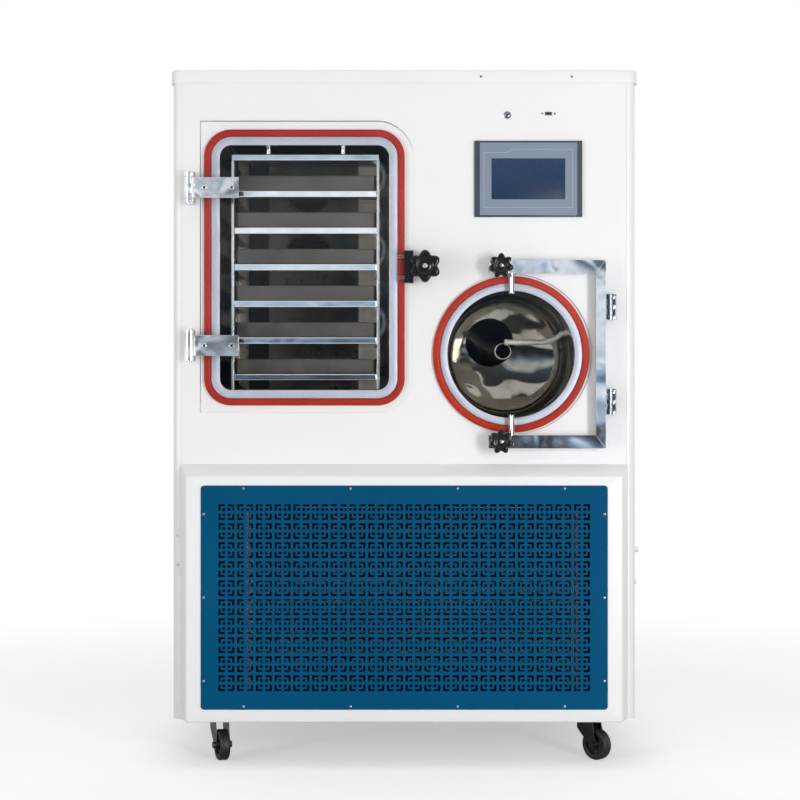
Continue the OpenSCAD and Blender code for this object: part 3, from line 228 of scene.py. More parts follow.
class EffectLibrary:
    """Builds each shared effect once, as a node group, and places it in materials."""

    slow: Span = (0.3, 0.7)  # the part of slow noise that is spread over the whole range

    def __init__(self) -> None:
        """Names the builder of every effect."""
        self.builders: dict[Effect, Callable[[], bpy.types.NodeTree]] = {
            Effect.PEEL: self._peel,
            Effect.GRAIN: self._grain,
            Effect.BLOTCH: self._blotch,
            Effect.RIPPLE: self._ripple,
            Effect.WEAR: self._wear,
            Effect.DUST: self._dust,
        }

    def place(self, graph: Graph, effect: Effect, inputs: dict) -> bpy.types.bpy_prop_collection:
        """Puts an effect into a material.

        Args:
            graph: The material's node graph.
            effect: Which effect.
            inputs: Input name to a socket or value.

        Returns:
            The group node's outputs.
        """
        tree = bpy.data.node_groups.get(effect.value) or self.builders[effect]()
        return graph.add("ShaderNodeGroup", inputs, node_tree=tree).outputs

    def patches(self, graph: Graph, scale: float, limits: Span) -> bpy.types.NodeSocket:
        """Gives a value that wanders between two limits in soft patches."""
        return self.place(graph, Effect.BLOTCH, {"Scale": scale, "Low": limits[0], "High": limits[1]})["Value"]

    @staticmethod
    def _shell(effect: Effect, inputs: dict[str, float | Stretch],
               *outputs: str) -> tuple[Graph, bpy.types.bpy_prop_collection, bpy.types.Node]:
        """Makes an empty group with its sockets.

        Args:
            effect: The effect that the group holds.
            inputs: Input name to its usual value; three numbers make a vector input.
            *outputs: Names of the outputs, each a plain value.

        Returns:
            The group's graph, the inputs that it is given and its output node.
        """
        tree = bpy.data.node_groups.new(effect.value, "ShaderNodeTree")
        for name, value in inputs.items():
            kind = "NodeSocketVector" if isinstance(value, tuple) else "NodeSocketFloat"
            tree.interface.new_socket(name, in_out="INPUT", socket_type=kind).default_value = value
        for name in outputs:
            tree.interface.new_socket(name, in_out="OUTPUT", socket_type="NodeSocketFloat")
        graph = Graph(tree)
        return graph, graph.add("NodeGroupInput").outputs, graph.add("NodeGroupOutput")

    def _peel(self) -> bpy.types.NodeTree:
        """Orange peel of sprayed powder, with a slow change of tone.

        Returns:
            The group.
        """
        graph, given, out = self._shell(Effect.PEEL, {"Scale": 900.0, "Tone Scale": 3.0}, "Height", "Tone")
        where = graph.position()
        fine = graph.noise(where, given["Scale"], 2.0)
        tone = graph.noise(where, given["Tone Scale"], 3.0)
        graph.feed(out, {"Height": fine, "Tone": graph.remap(tone, 0.0, 1.0, *self.slow)})
        return graph.tree

    def _grain(self) -> bpy.types.NodeTree:
        """Long fine scratches of brushed or rolled metal.

        Returns:
            The group.
        """
        graph, given, out = self._shell(Effect.GRAIN, {"Stretch": EVEN, "Scale": 60.0}, "Grain", "Streak")
        drawn = graph.add("ShaderNodeVectorMath", {0: graph.position(), 1: given["Stretch"]}, operation="MULTIPLY")
        fine = graph.noise(drawn.outputs[0], given["Scale"], 6.0, 0.7)
        wide = graph.noise(drawn.outputs[0], graph.math("MULTIPLY", given["Scale"], 0.12), 2.0)
        graph.feed(out, {"Grain": fine, "Streak": graph.remap(wide, 0.0, 1.0, *self.slow)})
        return graph.tree

    def _blotch(self) -> bpy.types.NodeTree:
        """Soft uneven patches, as handling and cleaning leave on a surface; mixed into a metal's colour they also
        make painted reflections on the mirror vessel and the chamber's rear wall.

        Returns:
            The group.
        """
        graph, given, out = self._shell(Effect.BLOTCH, {"Scale": 12.0, "Low": 0.0, "High": 1.0}, "Value")
        cloud = graph.noise(graph.position(), given["Scale"], 4.0, 0.6, 0.4)
        graph.feed(out, {"Value": graph.remap(cloud, given["Low"], given["High"], 0.32, 0.68)})
        return graph.tree

    def _ripple(self) -> bpy.types.NodeTree:
        """Slight waviness that polishing leaves in thin sheet.

        Returns:
            The group.
        """
        graph, given, out = self._shell(Effect.RIPPLE, {"Scale": 9.0}, "Height")
        graph.feed(out, {"Height": graph.noise(graph.position(), given["Scale"], 1.5, 0.4, 0.6)})
        return graph.tree

    def _wear(self) -> bpy.types.NodeTree:
        """Mask of the outer edges, broken up as rubbing wears them.

        Returns:
            The group.
        """
        graph, given, out = self._shell(Effect.WEAR, {"Radius": 0.001, "Scale": 80.0}, "Mask")
        rounded = graph.add("ShaderNodeBevel", {"Radius": given["Radius"]}, samples=4)
        flat = graph.add("ShaderNodeNewGeometry").outputs["Normal"]
        turn = graph.add("ShaderNodeVectorMath", {0: rounded.outputs[0], 1: flat}, operation="DOT_PRODUCT")
        edge = graph.remap(turn.outputs["Value"], 1.0, 0.0, 0.6, 0.98)
        broken = graph.remap(graph.noise(graph.position(), given["Scale"], 5.0), 0.0, 1.0, 0.42, 0.62)
        graph.feed(out, {"Mask": graph.math("MULTIPLY", edge, broken, clamp=True)})
        return graph.tree

    def _dust(self) -> bpy.types.NodeTree:
        """Thin film of dust, thicker where the surface faces up.

        Returns:
            The group.
        """
        graph, given, out = self._shell(Effect.DUST, {"Amount": 0.2, "Scale": 40.0}, "Mask")
        facing = graph.add("ShaderNodeSeparateXYZ", {0: graph.add("ShaderNodeNewGeometry").outputs["Normal"]})
        upward = graph.remap(facing.outputs["Z"], 0.25, 1.0, 0.0, 0.9)
        cloud = graph.remap(graph.noise(graph.position(), given["Scale"], 6.0), 0.2, 1.0, 0.35, 0.7)
        film = graph.math("MULTIPLY", upward, cloud)
        graph.feed(out, {"Mask": graph.math("MULTIPLY", film, given["Amount"], clamp=True)})
        return graph.tree


EFFECTS = EffectLibrary()


# ---------------------------------------------------------------- finishes


@dataclass(frozen=True)
class Finish:
    """A finish with a name, which makes its own material once."""

    name: str

    def material(self) -> bpy.types.Material:
        """Gives the material, made at first use.

        Returns:
            The material.
        """
        title = f"{self.name}_finish"
        found = bpy.data.materials.get(title)
        if found:
            return found
        made = bpy.data.materials.new(title)
        graph = Graph.blank(made)
        shader = graph.add("ShaderNodeBsdfPrincipled")
        graph.add("ShaderNodeOutputMaterial", {"Surface": self.dress(graph, shader)})
        return made

    def dress(self, graph: Graph, shader: bpy.types.Node) -> bpy.types.NodeSocket:
        """Fills the shader and returns the surface socket."""
        return shader.outputs[0]


@dataclass(frozen=True)
class Paint(Finish):
    """Sprayed and baked paint on sheet metal."""

    colour: Colour
    shade: Colour
    roughness: Span = (0.3, 0.38)
    peel: float = 700.0
    depth: float = 0.06
    coat: float = 0.15
    dust: float = 0.0
    gloss: float = 0.5

    def dress(self, graph: Graph, shader: bpy.types.Node) -> bpy.types.NodeSocket:
        """Fills the shader.

        Args:
            graph: The material's graph.
            shader: Its Principled shader.

        Returns:
            The surface socket.
        """
        peel = EFFECTS.place(graph, Effect.PEEL, {"Scale": self.peel, "Tone Scale": 2.2})
        tone = graph.mix(peel["Tone"], self.shade, self.colour)
        if self.dust:
            film = EFFECTS.place(graph, Effect.DUST, {"Amount": self.dust})
            tone = graph.mix(film["Mask"], tone, srgb(150, 146, 138))
        graph.feed(shader, {
            "Base Color": tone, "Roughness": EFFECTS.patches(graph, 6.0, self.roughness),
            "Coat Weight": self.coat, "Coat Roughness": 0.15, "Specular IOR Level": self.gloss,
            "Normal": graph.bump(peel["Height"], self.depth, 0.6 * MM)})
        return shader.outputs[0]


@dataclass(frozen=True)
class Metal(Finish):
    """Bare metal with a rolled, brushed or polished grain."""

    colour: Colour
    shade: Colour
    roughness: Span
    stretch: Stretch = EVEN
    scale: float = 60.0
    grain: float = 0.05
    ripple: float = 0.0
    ripple_scale: float = 9.0
    metallic: float = 1.0
    blotch: float = 14.0
    # glow is emission in the surface's own colour, painted light; only the right rear plate of the rack has it
    glow: float = 0.0

    def dress(self, graph: Graph, shader: bpy.types.Node) -> bpy.types.NodeSocket:
        """Fills the shader.

        Args:
            graph: The material's graph.
            shader: Its Principled shader.

        Returns:
            The surface socket.
        """
        grain = EFFECTS.place(graph, Effect.GRAIN, {"Stretch": self.stretch, "Scale": self.scale})
        patch = EFFECTS.patches(graph, self.blotch, (0.0, 1.0))
        blend = graph.math("MULTIPLY", patch, grain["Streak"], clamp=True)
        uneven = graph.math("ADD", graph.math("MULTIPLY", grain["Grain"], 0.6), graph.math("MULTIPLY", patch, 0.4))
        normal = graph.bump(grain["Grain"], self.grain, 0.4 * MM)
        if self.ripple:
            wave = EFFECTS.place(graph, Effect.RIPPLE, {"Scale": self.ripple_scale})
            bent = graph.add("ShaderNodeBump", {"Height": wave["Height"], "Strength": self.ripple,
                                                "Distance": 10 * MM, "Normal": normal})
            normal = bent.outputs["Normal"]
        # The patches mix in the shade colour: tone on most metals, painted reflections on the mirror vessel and the
        # chamber's rear wall.
        colour = graph.mix(blend, self.colour, self.shade)
        graph.feed(shader, {
            "Base Color": colour, "Metallic": self.metallic, "Normal": normal,
            "Roughness": graph.remap(uneven, *self.roughness, 0.25, 0.75)})
        # This emission is painted light, not a lamp.
        if self.glow:
            graph.feed(shader, {"Emission Color": colour, "Emission Strength": self.glow})
        return shader.outputs[0]


@dataclass(frozen=True)
class Plastic(Finish):
    """Moulded plastic, enamel or rubber with a fine skin and rubbed edges."""

    colour: Colour
    worn: Colour
    roughness: Span
    skin: float
    depth: float
    coat: float
    dust: float
    gloss: float = 0.5

    def dress(self, graph: Graph, shader: bpy.types.Node) -> bpy.types.NodeSocket:
        """Fills the shader.

        Args:
            graph: The material's graph.
            shader: Its Principled shader.

        Returns:
            The surface socket.
        """
        skin = EFFECTS.place(graph, Effect.PEEL, {"Scale": self.skin, "Tone Scale": 30.0})
        wear = EFFECTS.place(graph, Effect.WEAR, {"Radius": 1.2 * MM, "Scale": 220.0})
        film = EFFECTS.place(graph, Effect.DUST, {"Amount": self.dust, "Scale": 90.0})
        rubbed = graph.mix(graph.math("MULTIPLY", wear["Mask"], 0.5), self.colour, self.worn)
        graph.feed(shader, {
            "Base Color": graph.mix(film["Mask"], rubbed, srgb(140, 138, 134)),
            "Roughness": EFFECTS.patches(graph, 60.0, self.roughness),
            "Coat Weight": self.coat, "Coat Roughness": 0.08, "Specular IOR Level": self.gloss,
            "Normal": graph.bump(skin["Height"], self.depth, 0.5 * MM)})
        return shader.outputs[0]


@dataclass(frozen=True)
class Silicone(Finish):
    """Soft silicone rubber with a waxy surface."""

    colour: Colour
    deep: Colour
    roughness: Span = (0.35, 0.5)
    scatter: float = 0.0
    clear: float = 0.0
    gloss: float = 0.12
    film: float = 0.0

    def dress(self, graph: Graph, shader: bpy.types.Node) -> bpy.types.NodeSocket:
        """Fills the shader.

        Args:
            graph: The material's graph.
            shader: Its Principled shader.

        Returns:
            The surface socket.
        """
        skin = EFFECTS.place(graph, Effect.PEEL, {"Scale": 260.0, "Tone Scale": 8.0})
        tone = graph.mix(skin["Tone"], self.deep, self.colour)
        if self.film:
            film = EFFECTS.place(graph, Effect.DUST, {"Amount": self.film, "Scale": 120.0})
            tone = graph.mix(film["Mask"], tone, srgb(205, 170, 160))
        graph.feed(shader, {
            "Base Color": tone, "Roughness": EFFECTS.patches(graph, 25.0, self.roughness),
            "Subsurface Weight": self.scatter, "Subsurface Scale": 3 * MM,
            "Transmission Weight": self.clear, "Specular IOR Level": self.gloss,
            "Normal": graph.bump(skin["Height"], 0.08, 0.5 * MM)})
        return shader.outputs[0]


@dataclass(frozen=True)
class Acrylic(Finish):
    """Thick clear cast acrylic, which lets lamps through and veils little of what is behind it."""

    tint: Colour = (0.985, 0.99, 0.99, 1.0)
    haze: float = 0.0
    frost: float = 0.0
    gloss: float = 0.12
    index: float = 1.22

    def dress(self, graph: Graph, shader: bpy.types.Node) -> bpy.types.NodeSocket:
        """Fills the shader.

        Args:
            graph: The material's graph.
            shader: Its Principled shader.

        Returns:
            The surface socket.
        """
        wave = EFFECTS.place(graph, Effect.RIPPLE, {"Scale": 5.0})
        graph.feed(shader, {
            "Base Color": self.tint, "IOR": self.index, "Transmission Weight": 1.0 - self.frost,
            "Roughness": EFFECTS.patches(graph, 18.0, (self.haze, self.haze + 0.012)),
            "Specular IOR Level": self.gloss, "Normal": graph.bump(wave["Height"], 0.02, 2 * MM)})
        path = graph.add("ShaderNodeLightPath").outputs
        through = graph.math("MAXIMUM", path["Is Shadow Ray"], path["Is Diffuse Ray"])
        plain = graph.add("ShaderNodeBsdfTransparent", {"Color": PURE_WHITE})
        return graph.add("ShaderNodeMixShader", {0: through, 1: shader.outputs[0], 2: plain.outputs[0]}).outputs[0]


@dataclass(frozen=True)
class Display(Finish):
    """Dim liquid crystal screen behind a glossy sheet, with no picture."""

    top: Colour
    foot: Colour
    low: float
    high: float

    def dress(self, graph: Graph, shader: bpy.types.Node) -> bpy.types.NodeSocket:
        """Fills the shader.

        Args:
            graph: The material's graph.
            shader: Its Principled shader.

        Returns:
            The surface socket.
        """
        where = graph.add("ShaderNodeSeparateXYZ", {0: graph.position()})
        height = graph.remap(where.outputs["Z"], 0.0, 1.0, self.low, self.high)
        cloud = EFFECTS.patches(graph, 7.0, (-0.15, 0.15))
        colour = graph.mix(graph.math("ADD", height, cloud, clamp=True), self.foot, self.top)
        graph.feed(shader, {
            "Base Color": colour, "Roughness": EFFECTS.patches(graph, 30.0, (0.22, 0.32)),
            "Emission Color": colour, "Emission Strength": 0.15, "Specular IOR Level": 0.1})
        return shader.outputs[0]


class Stock(Enum):
    """Every finish that the freeze dryer uses."""

    WHITE = Paint("white_powder_coat", srgb(243, 243, 244), srgb(240, 240, 241), dust=0.02)
    BLUE = Paint("blue_powder_coat", srgb(0, 83, 124), srgb(0, 77, 116), (0.5, 0.62), 900.0, 0.1, 0.0, 0.0, 0.04)
    GREY = Paint("grey_frame_paint", srgb(120, 126, 134), srgb(104, 110, 118), (0.45, 0.6), 500.0, 0.15, 0.0, 0.5)
    BOX = Paint("pale_box_paint", srgb(196, 198, 196), srgb(184, 186, 184), (0.4, 0.5), 600.0, 0.1, 0.0, 0.4)

    POLISHED = Metal("polished_tube_steel", srgb(232, 234, 238), srgb(200, 206, 214), (0.07, 0.16),
                     EVEN, 90.0, 0.02, 0.34, 12.0)
    SCREW = Metal("bright_screw_steel", srgb(222, 222, 226), srgb(170, 172, 178), (0.12, 0.25), scale=300.0)
    STRAP = Metal("polished_strap_steel", srgb(246, 246, 246), srgb(150, 152, 158), (0.12, 0.22),
                  (1.0, 1.0, 3.0), 60.0, 0.03, 0.3, 16.0, 0.92)
    LEAF = Metal("dark_leaf_steel", srgb(150, 154, 164), srgb(82, 86, 96), (0.16, 0.3), scale=240.0, grain=0.02)
    # The mirror vessel's near-black shade colour makes patches of painted dark reflection.
    VESSEL = Metal("mirror_vessel_steel", srgb(172, 167, 157), srgb(3, 3, 3), (0.04, 0.1),
                   EVEN, 40.0, 0.012, 0.9, 7.0, blotch=6.0)
    # The liner is far darker than bare steel: its colour is painted shade of the chamber's inside.
    LINER = Metal("chamber_liner_steel", srgb(88, 84, 76), srgb(26, 24, 21), (0.14, 0.26),
                  (1.0, 1.0, 4.0), 50.0, 0.02, 0.2, 12.0)
    # The rear wall's pale and near-black patches are painted reflections.
    REAR = Metal("chamber_rear_steel", srgb(186, 174, 156), srgb(18, 16, 14), (0.24, 0.4),
                 EVEN, 40.0, 0.02, 0.3, 11.0, 0.6, 9.0)
    FLANGE = Metal("satin_flange_steel", srgb(176, 180, 192), srgb(160, 164, 178), (0.46, 0.56),
                   EVEN, 160.0, 0.03, metallic=0.35)
    SHELF = Metal("shelf_steel", srgb(250, 251, 252), srgb(222, 228, 236), (0.06, 0.14),
                  (0.2, 1.0, 1.0), 40.0, 0.008, 0.09, 12.0)
    UPRIGHT = Metal("rack_bar_steel", srgb(236, 235, 232), srgb(206, 203, 196), (0.14, 0.26),
                    (4.0, 1.0, 0.3), 60.0, 0.03)
    # Lit and shaded copies of the rack's rear plate: the right one is pale and glows, painted light; the left one is
    # dark, painted shade.
    PAINTED_LIGHT_PLATE = Metal("painted_light_rack_plate_steel", srgb(240, 232, 218), srgb(176, 166, 150), (0.34, 0.5),
                  (6.0, 1.0, 0.4), 60.0, 0.06, metallic=0.2, glow=0.15)
    SHADED = Metal("shaded_plate_steel", srgb(74, 71, 68), srgb(42, 40, 38), (0.3, 0.45),
                   (6.0, 1.0, 0.4), 60.0, 0.06, metallic=0.8)
    # The trays' colour, darker than bare steel, is painted shade.
    TRAY = Metal("tray_steel", srgb(92, 90, 87), srgb(42, 41, 39), (0.28, 0.42),
                 (0.2, 1.0, 2.0), 30.0, 0.02, metallic=0.85, blotch=9.0)
    TINT = Metal("heat_tinted_weld", srgb(232, 150, 64), srgb(150, 96, 54), (0.2, 0.35), scale=200.0, metallic=0.5)
    PIPE = Metal("pipe_steel", srgb(250, 249, 246), srgb(222, 220, 216), (0.12, 0.24),
                 (0.2, 1.0, 1.0), 90.0, 0.03, metallic=0.25)
    FIN = Metal("dark_fin_aluminium", srgb(70, 72, 76), srgb(46, 48, 52), (0.4, 0.6), scale=200.0)
    COPPER = Metal("dull_copper", srgb(158, 92, 70), srgb(112, 62, 46), (0.25, 0.45), scale=120.0, metallic=0.7)
    COLLAR = Metal("collar_aluminium", srgb(222, 214, 202), srgb(180, 170, 156), (0.3, 0.45),
                   scale=120.0, metallic=0.3)

    RED = Silicone("brick_silicone", srgb(178, 50, 36), srgb(160, 38, 26))
    ORANGE = Silicone("orange_red_silicone", srgb(184, 52, 30), srgb(168, 42, 24))
    MILK = Silicone("milky_silicone", srgb(226, 228, 226), srgb(205, 208, 206), (0.25, 0.4), 0.3, 0.25, 0.5, 0.12)

    CLEAR = Acrylic("clear_acrylic")
    SAWN = Acrylic("sawn_acrylic_edge", srgb(196, 200, 204), haze=0.42, frost=0.7)

    BLACK = Plastic("black_phenolic", srgb(14, 15, 19), srgb(70, 72, 80), (0.16, 0.26), 400.0, 0.04, 0.18, 0.0, 0.25)
    CASE = Plastic("slate_case_plastic", srgb(50, 58, 74), srgb(104, 112, 128), (0.35, 0.45), 900.0, 0.08, 0.0, 0.1)
    FASCIA = Plastic("blue_grey_fascia", srgb(124, 138, 156), srgb(150, 160, 174), (0.34, 0.46),
                     1200.0, 0.04, 0.1, 0.05)
    LINE = Plastic("pale_fascia_line", srgb(170, 186, 206), srgb(186, 198, 214), (0.3, 0.4), 900.0, 0.03, 0.0, 0.0)
    # Black for bores and deep holes: painted shade.
    BORE_SHADE = Plastic("painted_bore_shade", srgb(10, 10, 10), srgb(30, 30, 30), (0.5, 0.65), 300.0, 0.1, 0.0, 0.0, 0.06)
    MACHINE = Plastic("machine_enamel", srgb(26, 27, 30), srgb(80, 82, 86), (0.3, 0.45), 300.0, 0.12, 0.2, 0.5)
    FORK = Plastic("caster_enamel", srgb(10, 10, 11), srgb(48, 48, 50), (0.28, 0.4), 350.0, 0.08, 0.1, 0.05)
    RUBBER = Plastic("wheel_rubber", srgb(20, 20, 21), srgb(58, 58, 60), (0.4, 0.55), 250.0, 0.25, 0.0, 0.1)


# ---------------------------------------------------------------- mesh making


def angles(count: int) -> list[float]:
    """Gives the angles of equal steps round a circle."""
    return [TAU * k / count for k in range(count)]


def arc(count: int, first: float, last: float) -> list[float]:
    """Gives angles in radians from one angle to another in degrees, both included."""
    return [math.radians(first + (last - first) * k / count) for k in range(count + 1)]


def front_of(low: Vector, high: Vector) -> Vector:
    """Gives the middle of the front face of a box."""
    return Vector(((low.x + high.x) / 2, low.y, (low.z + high.z) / 2))


class Forge:
    """Gathers the faces of one piece and hands it over as an object."""

    def __init__(self) -> None:
        """Starts an empty mesh."""
        self.mesh = bmesh.new()
        self.tag = 0

    def ring(self, points: Sequence[Vector]) -> list[bmesh.types.BMVert]:
        """Adds loose points and returns them."""
        return [self.mesh.verts.new(p) for p in points]

    def face(self, verts: Sequence[bmesh.types.BMVert]) -> None:
        """Adds one face in the current material slot."""
        made = self.mesh.faces.new(verts)
        made.material_index = self.tag

    def skin(self, rings: Sequence[Ring], closed: bool = True, looped: bool = False,
             start_cap: bool = False, end_cap: bool = False) -> None:
        """Lofts faces over rings with equal counts of points.

        Args:
            rings: The rings in order.
            closed: Whether each ring closes on itself.
            looped: Whether the last ring joins the first.
            start_cap: Whether the first ring is filled.
            end_cap: Whether the last ring is filled.
        """
        rows = [self.ring(points) for points in rings]
        pairs = list(zip(rows, rows[1:])) + ([(rows[-1], rows[0])] if looped else [])
        for low, high in pairs:
            count = len(low)
            for i in range(count if closed else count - 1):
                j = (i + 1) % count
                self.face((low[i], low[j], high[j], high[i]))
        if start_cap:
            self.face(list(reversed(rows[0])))
        if end_cap:
            self.face(rows[-1])

    def lathe(self, profile: Profile, origin: Vector, axis: Vector = INWARD, segments: int = 48,
              looped: bool = False) -> None:
        """Turns a profile of radius and place along the axis.

        Args:
            profile: Points as radius and distance along the axis; a zero radius closes the end.
            origin: Where the axis starts.
            axis: The axis's direction.
            segments: Sides of a circle.
            looped: Whether the profile closes on itself.
        """
        along = axis.normalized()
        side = along.orthogonal().normalized()
        up = along.cross(side)
        turned = [math.cos(a) * side + math.sin(a) * up for a in angles(segments)]
        body = [p for p in profile if p[0] > 0]
        rings = [[origin + along * d + t * r for t in turned] for r, d in body]
        self.skin(rings, looped=looped, start_cap=not looped and profile[0][0] <= 0,
                  end_cap=not looped and profile[-1][0] <= 0)

    def tube(self, path: Sequence[Vector], radius: float | Sequence[float], segments: int = 20,
             caps: bool = True) -> None:
        """Sweeps a circle along a path without twisting it.

        Args:
            path: Points in order.
            radius: One radius or one for each point.
            segments: Sides of the circle.
            caps: Whether both ends are filled.
        """
        radii = [radius] * len(path) if isinstance(radius, (int, float)) else list(radius)
        rings = []
        side = None
        for i, point in enumerate(path):
            ahead = (path[min(i + 1, len(path) - 1)] - path[max(i - 1, 0)]).normalized()
            side = ahead.orthogonal().normalized() if side is None else (side - ahead * side.dot(ahead)).normalized()
            up = ahead.cross(side)
            rings.append([point + (math.cos(a) * side + math.sin(a) * up) * radii[i] for a in angles(segments)])
        self.skin(rings, start_cap=caps, end_cap=caps)

    def block(self, low: Vector, high: Vector) -> None:
        """Adds a closed block between two corners."""
        flat = [Vector((x, y, 0)) for x, y in ((low.x, low.y), (high.x, low.y), (high.x, high.y), (low.x, high.y))]
        self.prism(flat, low.z, high.z)

    def prism(self, plan: Ring, low: float, high: float) -> None:
        """Adds a closed upright prism over a plan, between two heights."""
        self.skin([[p + Vector((0, 0, z)) for p in plan] for z in (low, high)], start_cap=True, end_cap=True)

    def front_tag(self, y: float, reach: float = 0.3 * MM) -> None:
        """Gives the first finish to the faces at a depth and the second one to all others."""
        for face in self.mesh.faces:
            face.material_index = 0 if abs(face.calc_center_median().y - y) < reach else 1

    def bare(self, name: str) -> bpy.types.Object:
        """Turns the mesh into an object of the scene.

        Args:
            name: The object's name.

        Returns:
            The new object.
        """
        data = bpy.data.meshes.new(name)
        self.mesh.to_mesh(data)
        self.mesh.free()
        made = bpy.data.objects.new(name, data)
        bpy.context.scene.collection.objects.link(made)
        return made

    def piece(self, name: str, body: str, *stock: Stock, bevel: float = 0.0, steps: int = 2, sharp: float = 32.0,
              wall: float = 0.0, wall_side: float = -1.0, flat: bool = False) -> bpy.types.Object:
        """Turns the mesh into an object that rides on a body.

        Args:
            name: The piece's name.
            body: The CAD body that carries it.
            *stock: Its finishes, in slot order.
            bevel: Width of rounded edges.
            steps: Segments of rounded edges.
            sharp: Angle in degrees above which an edge stays sharp.
            wall: Thickness that a sheet is given.
            wall_side: Side that the thickness goes to.
            flat: Whether every face is shaded flat.

        Returns:
            The new object.
        """
        bmesh.ops.remove_doubles(self.mesh, verts=self.mesh.verts, dist=SAME_POINT)
        bmesh.ops.recalc_face_normals(self.mesh, faces=self.mesh.faces)
        made = self.bare(name)
        if flat:
            made.data.shade_flat()
        else:
            made.data.shade_smooth()
            made.data.set_sharp_from_angle(angle=math.radians(sharp))
        for finish in stock:
            made.data.materials.append(finish.value.material())
        if wall:
            thick = made.modifiers.new("wall", "SOLIDIFY")
            thick.thickness, thick.offset, thick.use_even_offset = wall, wall_side, True
        if bevel:
            soft = made.modifiers.new("soft_edges", "BEVEL")
            soft.width, soft.segments, soft.limit_method = bevel, steps, "ANGLE"
            soft.angle_limit, soft.harden_normals = math.radians(sharp), True
        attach(made, body)
        return made


def recast(node: str, *stock: Stock, bevel: float, steps: int = 2,
           pick: Callable[[Vector, Vector], int] | None = None) -> None:
    """Makes a soft-edged piece in the shape of a CAD node and shows it instead.

    Args:
        node: The CAD node.
        *stock: The piece's finishes, in slot order.
        bevel: Width of the rounded edges.
        steps: Segments of the rounded edges.
        pick: Gives the slot of a face from its middle and its normal.
    """
    forge = Forge()
    forge.mesh.from_mesh(frame["nodes"][node].data)
    bmesh.ops.remove_doubles(forge.mesh, verts=forge.mesh.verts, dist=SAME_CAD_POINT)
    bmesh.ops.dissolve_limit(forge.mesh, angle_limit=SAME_PLANE, verts=forge.mesh.verts, edges=forge.mesh.edges)
    for face in forge.mesh.faces:
        face.material_index = pick(face.calc_center_median(), face.normal) if pick else 0
    stand_in(forge.piece(f"{node}_skin", BODY_OF[node], *stock, bevel=bevel, steps=steps), node)


def stand_in(piece: bpy.types.Object, node: str) -> None:
    """Hides a CAD node, so that a piece shows instead of it."""
    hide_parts(node)


def keep(node: str, stock: Stock) -> None:
    """Leaves a CAD node in place and gives it a finish.

    Args:
        node: The CAD node.
        stock: Its finish.
    """
    data = frame["nodes"][node].data
    data.materials.clear()
    data.materials.append(stock.value.material())


def islands(node: str) -> list[tuple[Vector, Vector]]:
    """Finds the boxes of a CAD node's separate solids.

    Args:
        node: The CAD node.

    Returns:
        Lowest and highest corner of each solid, from left to right.
    """
    mesh = bmesh.new()
    mesh.from_mesh(frame["nodes"][node].data)
    bmesh.ops.remove_doubles(mesh, verts=mesh.verts, dist=SAME_CAD_POINT)
    left, boxes = set(mesh.verts), []
    while left:
        front, found = [left.pop()], []
        while front:
            vert = front.pop()
            found.append(vert.co.copy())
            for edge in vert.link_edges:
                other = edge.other_vert(vert)
                if other in left:
                    left.discard(other)
                    front.append(other)
        boxes.append((Vector([min(p[i] for p in found) for i in range(3)]),
                      Vector([max(p[i] for p in found) for i in range(3)])))
    mesh.free()
    return sorted(boxes, key=lambda pair: (round(pair[0].x, 4), round(pair[0].z, 4)))


@dataclass(frozen=True)
class Outline:
    """A rectangle with round corners in a plane, with equal point counts at any inset."""

    left: float
    right: float
    low: float
    high: float
    radii: tuple[float, float, float, float]
    steps: int = 8

    @classmethod
    def centred(cls, x: float, z: float, wide: float, tall: float, radius: float, steps: int) -> "Outline":
        """Gives an outline of a width and a height round its middle, with equal corners."""
        return cls(x - wide / 2, x + wide / 2, z - tall / 2, z + tall / 2, (radius,) * 4, steps)

    def points(self, inset: float = 0.0) -> Profile:
        """Gives the outline's points, anticlockwise from the lower left corner.

        Args:
            inset: How far the outline is drawn in.

        Returns:
            Pairs of across and up.
        """
        found = []
        corners = ((self.left, self.low, 180), (self.right, self.low, 270), (self.right, self.high, 0),
                   (self.left, self.high, 90))
        for (x, z, start), radius in zip(corners, self.radii):
            r = max(radius - inset, LEAST_RADIUS)
            cx = x + (inset + r) * (1 if x == self.left else -1)
            cz = z + (inset + r) * (1 if z == self.low else -1)
            found += [(cx + r * math.cos(a), cz + r * math.sin(a)) for a in arc(self.steps, start, start + 90)]
        return found

    def upright(self, y: float, inset: float = 0.0) -> Ring:
        """Gives the outline standing in the XZ plane at a depth."""
        return [Vector((x, y, z)) for x, z in self.points(inset)]

    def level(self, z: float, inset: float = 0.0) -> Ring:
        """Gives the outline lying in the XY plane at a height."""
        return [Vector((x, y, z)) for x, y in self.points(inset)]


def bead(count: int, radius: float, ripple: float) -> list[float]:
    """Gives the radii along a weld bead, thin and thick by turns."""
    return [radius + ripple * (k % 2) for k in range(count + 1)]


def middle(node: str) -> Vector:
    """Gives the middle of a CAD node's box."""
    low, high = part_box(node)
    return (low + high) / 2


def fold(radius: float, steps: int = 4) -> Profile:
    """Gives inset and drop of the points round a quarter fold, from its side to its face."""
    return [(radius * (1 - math.cos(a)), radius * (1 - math.sin(a))) for a in arc(steps, 0, 90)]


@dataclass(frozen=True)
class Layout:
    """Places that several sub-assemblies share, read from the CAD boxes."""

    centre_x: float
    face_y: float
    chamber: Vector
    trap: Vector

    @classmethod
    def read(cls) -> "Layout":
        """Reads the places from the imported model."""
        return cls(middle("top_cover").x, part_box("front_panel")[0].y, middle("chamber_seal"), middle("trap_seal"))


# ---------------------------------------------------------------- cabinet


